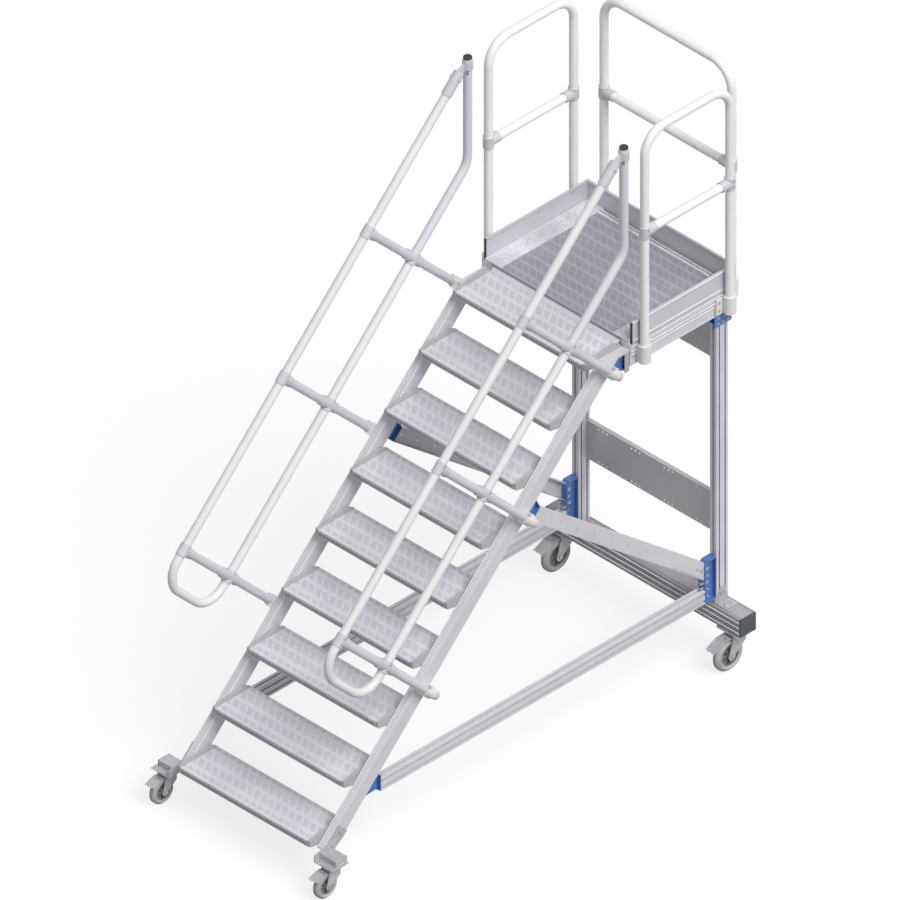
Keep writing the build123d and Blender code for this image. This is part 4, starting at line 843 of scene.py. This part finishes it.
# Rivets in the cross plates' holes, in threes along both edges, bright with the painted-highlight finish
platesLow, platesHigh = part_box("cross_plates")
platePlan = dict(height=0.197, inset=0.014, pitch=0.024, groups=4, size=0.62,
                 sizes={"Sides": 12, "Head Height": 0.004, "Chamfer": 0.004})
plateRivets = []
for plateLow in (platesLow.z, platesHigh.z - platePlan["height"]):
    for level in (plateLow + platePlan["inset"], plateLow + platePlan["height"] - platePlan["inset"]):
        for group in range(platePlan["groups"]):
            middle = platesLow.x + (platesHigh.x - platesLow.x) * (group + 1 / 2) / platePlan["groups"]
            for step in (-1, 0, 1):
                plateRivets.append(dict(at=Vector((middle + step * platePlan["pitch"], platesLow.y, level)),
                                        facing=frontward, size=platePlan["size"]))
makeBolts("cross_plate_rivets", plateRivets, "paintedHighlightAluminium", platePlan["sizes"])

# Stringer clamps: a cylinder-head screw on the face of each
bracketAlongs = (0.806, 1.649, 2.365)
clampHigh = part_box("stringer_clamps")[1]
clampPlan = dict(out=-0.072, shift=0.016, inset=0.012,
                 sizes={"Sides": 16, "Head Radius": 0.0085, "Head Height": 0.008, "Washer Radius": 0.0105})
screws = []
for along in bracketAlongs:
    at = onSlope(clampHigh.x - clampPlan["inset"], along + clampPlan["shift"], clampPlan["out"])
    screws.append(dict(at=at, facing=outward, size=1.0))
makeBolts("stringer_clamp_screws", bothSides(screws), "boltZinc", clampPlan["sizes"])

# Blind rivets along the toe boards' bead, on both faces
rivetPlan = dict(pitch=0.208, first=0.105, below=0.016, size=0.42, wall=0.010, onSide=3, onBack=2,
                 sizes={"Sides": 12, "Head Height": 0.0018, "Washer Height": 0.0012})
rivetZ = toeHigh.z - rivetPlan["below"]
rivets = []
for step in range(rivetPlan["onSide"]):
    y = toeLow.y + rivetPlan["first"] + step * rivetPlan["pitch"]
    for face, way in ((toeHigh.x, outward), (toeHigh.x - rivetPlan["wall"], -outward)):
        rivets.append(dict(at=Vector((face, y, rivetZ)), facing=way, size=rivetPlan["size"]))
for step in range(rivetPlan["onBack"]):
    x = rivetPlan["pitch"] * (step + 1 / 2)
    for face, way in ((toeHigh.y, backward), (toeHigh.y - rivetPlan["wall"], frontward)):
        rivets.append(dict(at=Vector((x, face, rivetZ)), facing=way, size=rivetPlan["size"]))
makeBolts("toe_board_rivets", bothSides(rivets), "boltZinc", rivetPlan["sizes"])
print("bolts and rivets made")


# Wheels: ribs in the hollow of each hub, and a bead round the tyre's wall on both sides
def ringTree():
    tree = newTree("rings", [("Radius", "Float", 0.05), ("Bead", "Float", 0.0011), ("Around", "Int", 48),
                             ("Bead Sides", "Int", 6), ("Material", "Material", None)])
    given = addNode(tree, "NodeGroupInput")
    path = addNode(tree, "GeometryNodeCurvePrimitiveCircle",
                   links=[("Resolution", given, "Around"), ("Radius", given, "Radius")])
    bead = addNode(tree, "GeometryNodeCurvePrimitiveCircle",
                   links=[("Resolution", given, "Bead Sides"), ("Radius", given, "Bead")])
    ring = addNode(tree, "GeometryNodeCurveToMesh", links=[("Curve", path, "Curve"),
                                                           ("Profile Curve", bead, "Curve")])
    placed = addNode(tree, "GeometryNodeInstanceOnPoints",
                     links=[("Points", given, "Geometry"), ("Instance", ring, "Mesh"),
                            ("Rotation", addFacing(tree), "Rotation")])
    addNode(tree, "NodeGroupOutput", links=[("Geometry", addPaint(tree, given, placed), "Geometry")])
    return tree


rings = ringTree()
wheelPlan = {"front": dict(tyre=0.0625, half=0.018, web=0.004, hub=0.017, rim=0.035, ribOut=0.0105),
             "rear": dict(tyre=0.080, half=0.020, web=0.004, hub=0.017, rim=0.0465, ribOut=0.0125)}
ribPlan = dict(count=8, wide=0.0035, taper=0.75, sunkShare=0.9, beadShare=0.80)
for corner in corners:
    plan = wheelPlan[corner.split("_")[0]]
    middle = hubs[corner]
    hubRibs = []
    tyreBeads = []
    for way in (outward, -outward):
        for index in range(ribPlan["count"]):
            turn = 2 * math.pi * index / ribPlan["count"]
            radial = Vector((0, math.cos(turn), math.sin(turn)))
            at = middle + way * plan["web"] * ribPlan["sunkShare"] + radial * (plan["hub"] + plan["rim"]) / 2
            hubRibs.append(dict(at=at, facing=way, along=radial,
                                span=(plan["rim"] - plan["hub"], ribPlan["wide"], plan["ribOut"])))
        tyreBeads.append(dict(at=middle + way * plan["half"], facing=way))
    makeBars("hub_ribs_" + corner, hubRibs, ribPlan["taper"], "hubPolypropylene", "wheel_" + corner)
    beads = runTrees("tyre_beads_" + corner, [
        (rings, {"Radius": plan["tyre"] * ribPlan["beadShare"], "Material": finish["greyRubber"]})],
        tyreBeads)
    finishPiece(beads, "wheel_" + corner)
print("wheels dressed")

# Set screws in the rail joints, two facing out on each
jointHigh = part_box("handrail_joints")[1]
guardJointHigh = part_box("guard_joints")[1]
midLow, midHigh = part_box("guard_mid_rails")
screwPlan = dict(outs=(0.270, 0.654), apart=0.014, sunk=0.0012,
                 sizes={"Sides": 8, "Head Radius": 0.0036, "Head Height": 0.0010, "Washer Radius": 0.0042,
                        "Washer Height": 0.0008, "Chamfer": 0.0004})
setScrews = []
for way in (1, -1):
    for along in bracketAlongs:
        for out in screwPlan["outs"]:
            at = onSlope(jointHigh.x - screwPlan["sunk"], along + way * screwPlan["apart"], out)
            setScrews.append(dict(at=at, facing=outward, size=1.0))
    for tubeY in (sideLow.y + tubeRadius, sideHigh.y - tubeRadius):
        at = Vector((guardJointHigh.x - screwPlan["sunk"], tubeY,
                     (midLow.z + midHigh.z) / 2 + way * screwPlan["apart"]))
        setScrews.append(dict(at=at, facing=outward, size=1.0))
makeBolts("joint_set_screws", bothSides(setScrews), "darkSteel", screwPlan["sizes"])

# Upper joints of the handrails: a pivot bolt through each sleeve, and two set screws in each collar
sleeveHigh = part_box("handrail_adjusters")[1]
plugLow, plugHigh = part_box("handrail_plugs")
upperPlan = dict(pivot=(3.116, 0.654), sunk=0.003, levels=(0.038, 0.051), screwSunk=0.0008,
                 sizes={"Sides": 24, "Head Radius": 0.0085, "Head Height": 0.0065, "Washer Radius": 0.0135,
                        "Washer Height": 0.0045, "Chamfer": 0.0010})
railX = plugHigh.x - tubeRadius
sleeveReach = sleeveHigh.x - railX
pivots = []
collarScrews = []
for way in (1, -1):
    pivots.append(dict(at=onSlope(railX + way * (sleeveReach - upperPlan["sunk"]), *upperPlan["pivot"]),
                       facing=outward * way, size=1.0))
    facing = (frontward + outward * way).normalized()
    for level in upperPlan["levels"]:
        axis = Vector((railX, (plugLow.y + plugHigh.y) / 2, plugLow.z - level))
        collarScrews.append(dict(at=axis + facing * (sleeveReach - upperPlan["screwSunk"]), facing=facing,
                                 size=1.0))
makeBolts("handrail_pivot_bolts", bothSides(pivots), "jointLacquer", upperPlan["sizes"])
makeBolts("handrail_collar_screws", bothSides(collarScrews), "darkSteel", screwPlan["sizes"])

# Plates that close the outer ends of the front castors' seats
seatEnd = dict(at=(0.5305, -1.1951, 0.1735), span=(0.070, 0.030, 0.002), taper=0.94)
seatEnds = [dict(at=Vector(seatEnd["at"]), facing=outward, along=backward, span=seatEnd["span"])]
makeBars("front_seat_ends", bothSides(seatEnds), seatEnd["taper"], "zincSteel", "frame")
print("rail screws and seat ends made")

low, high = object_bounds()
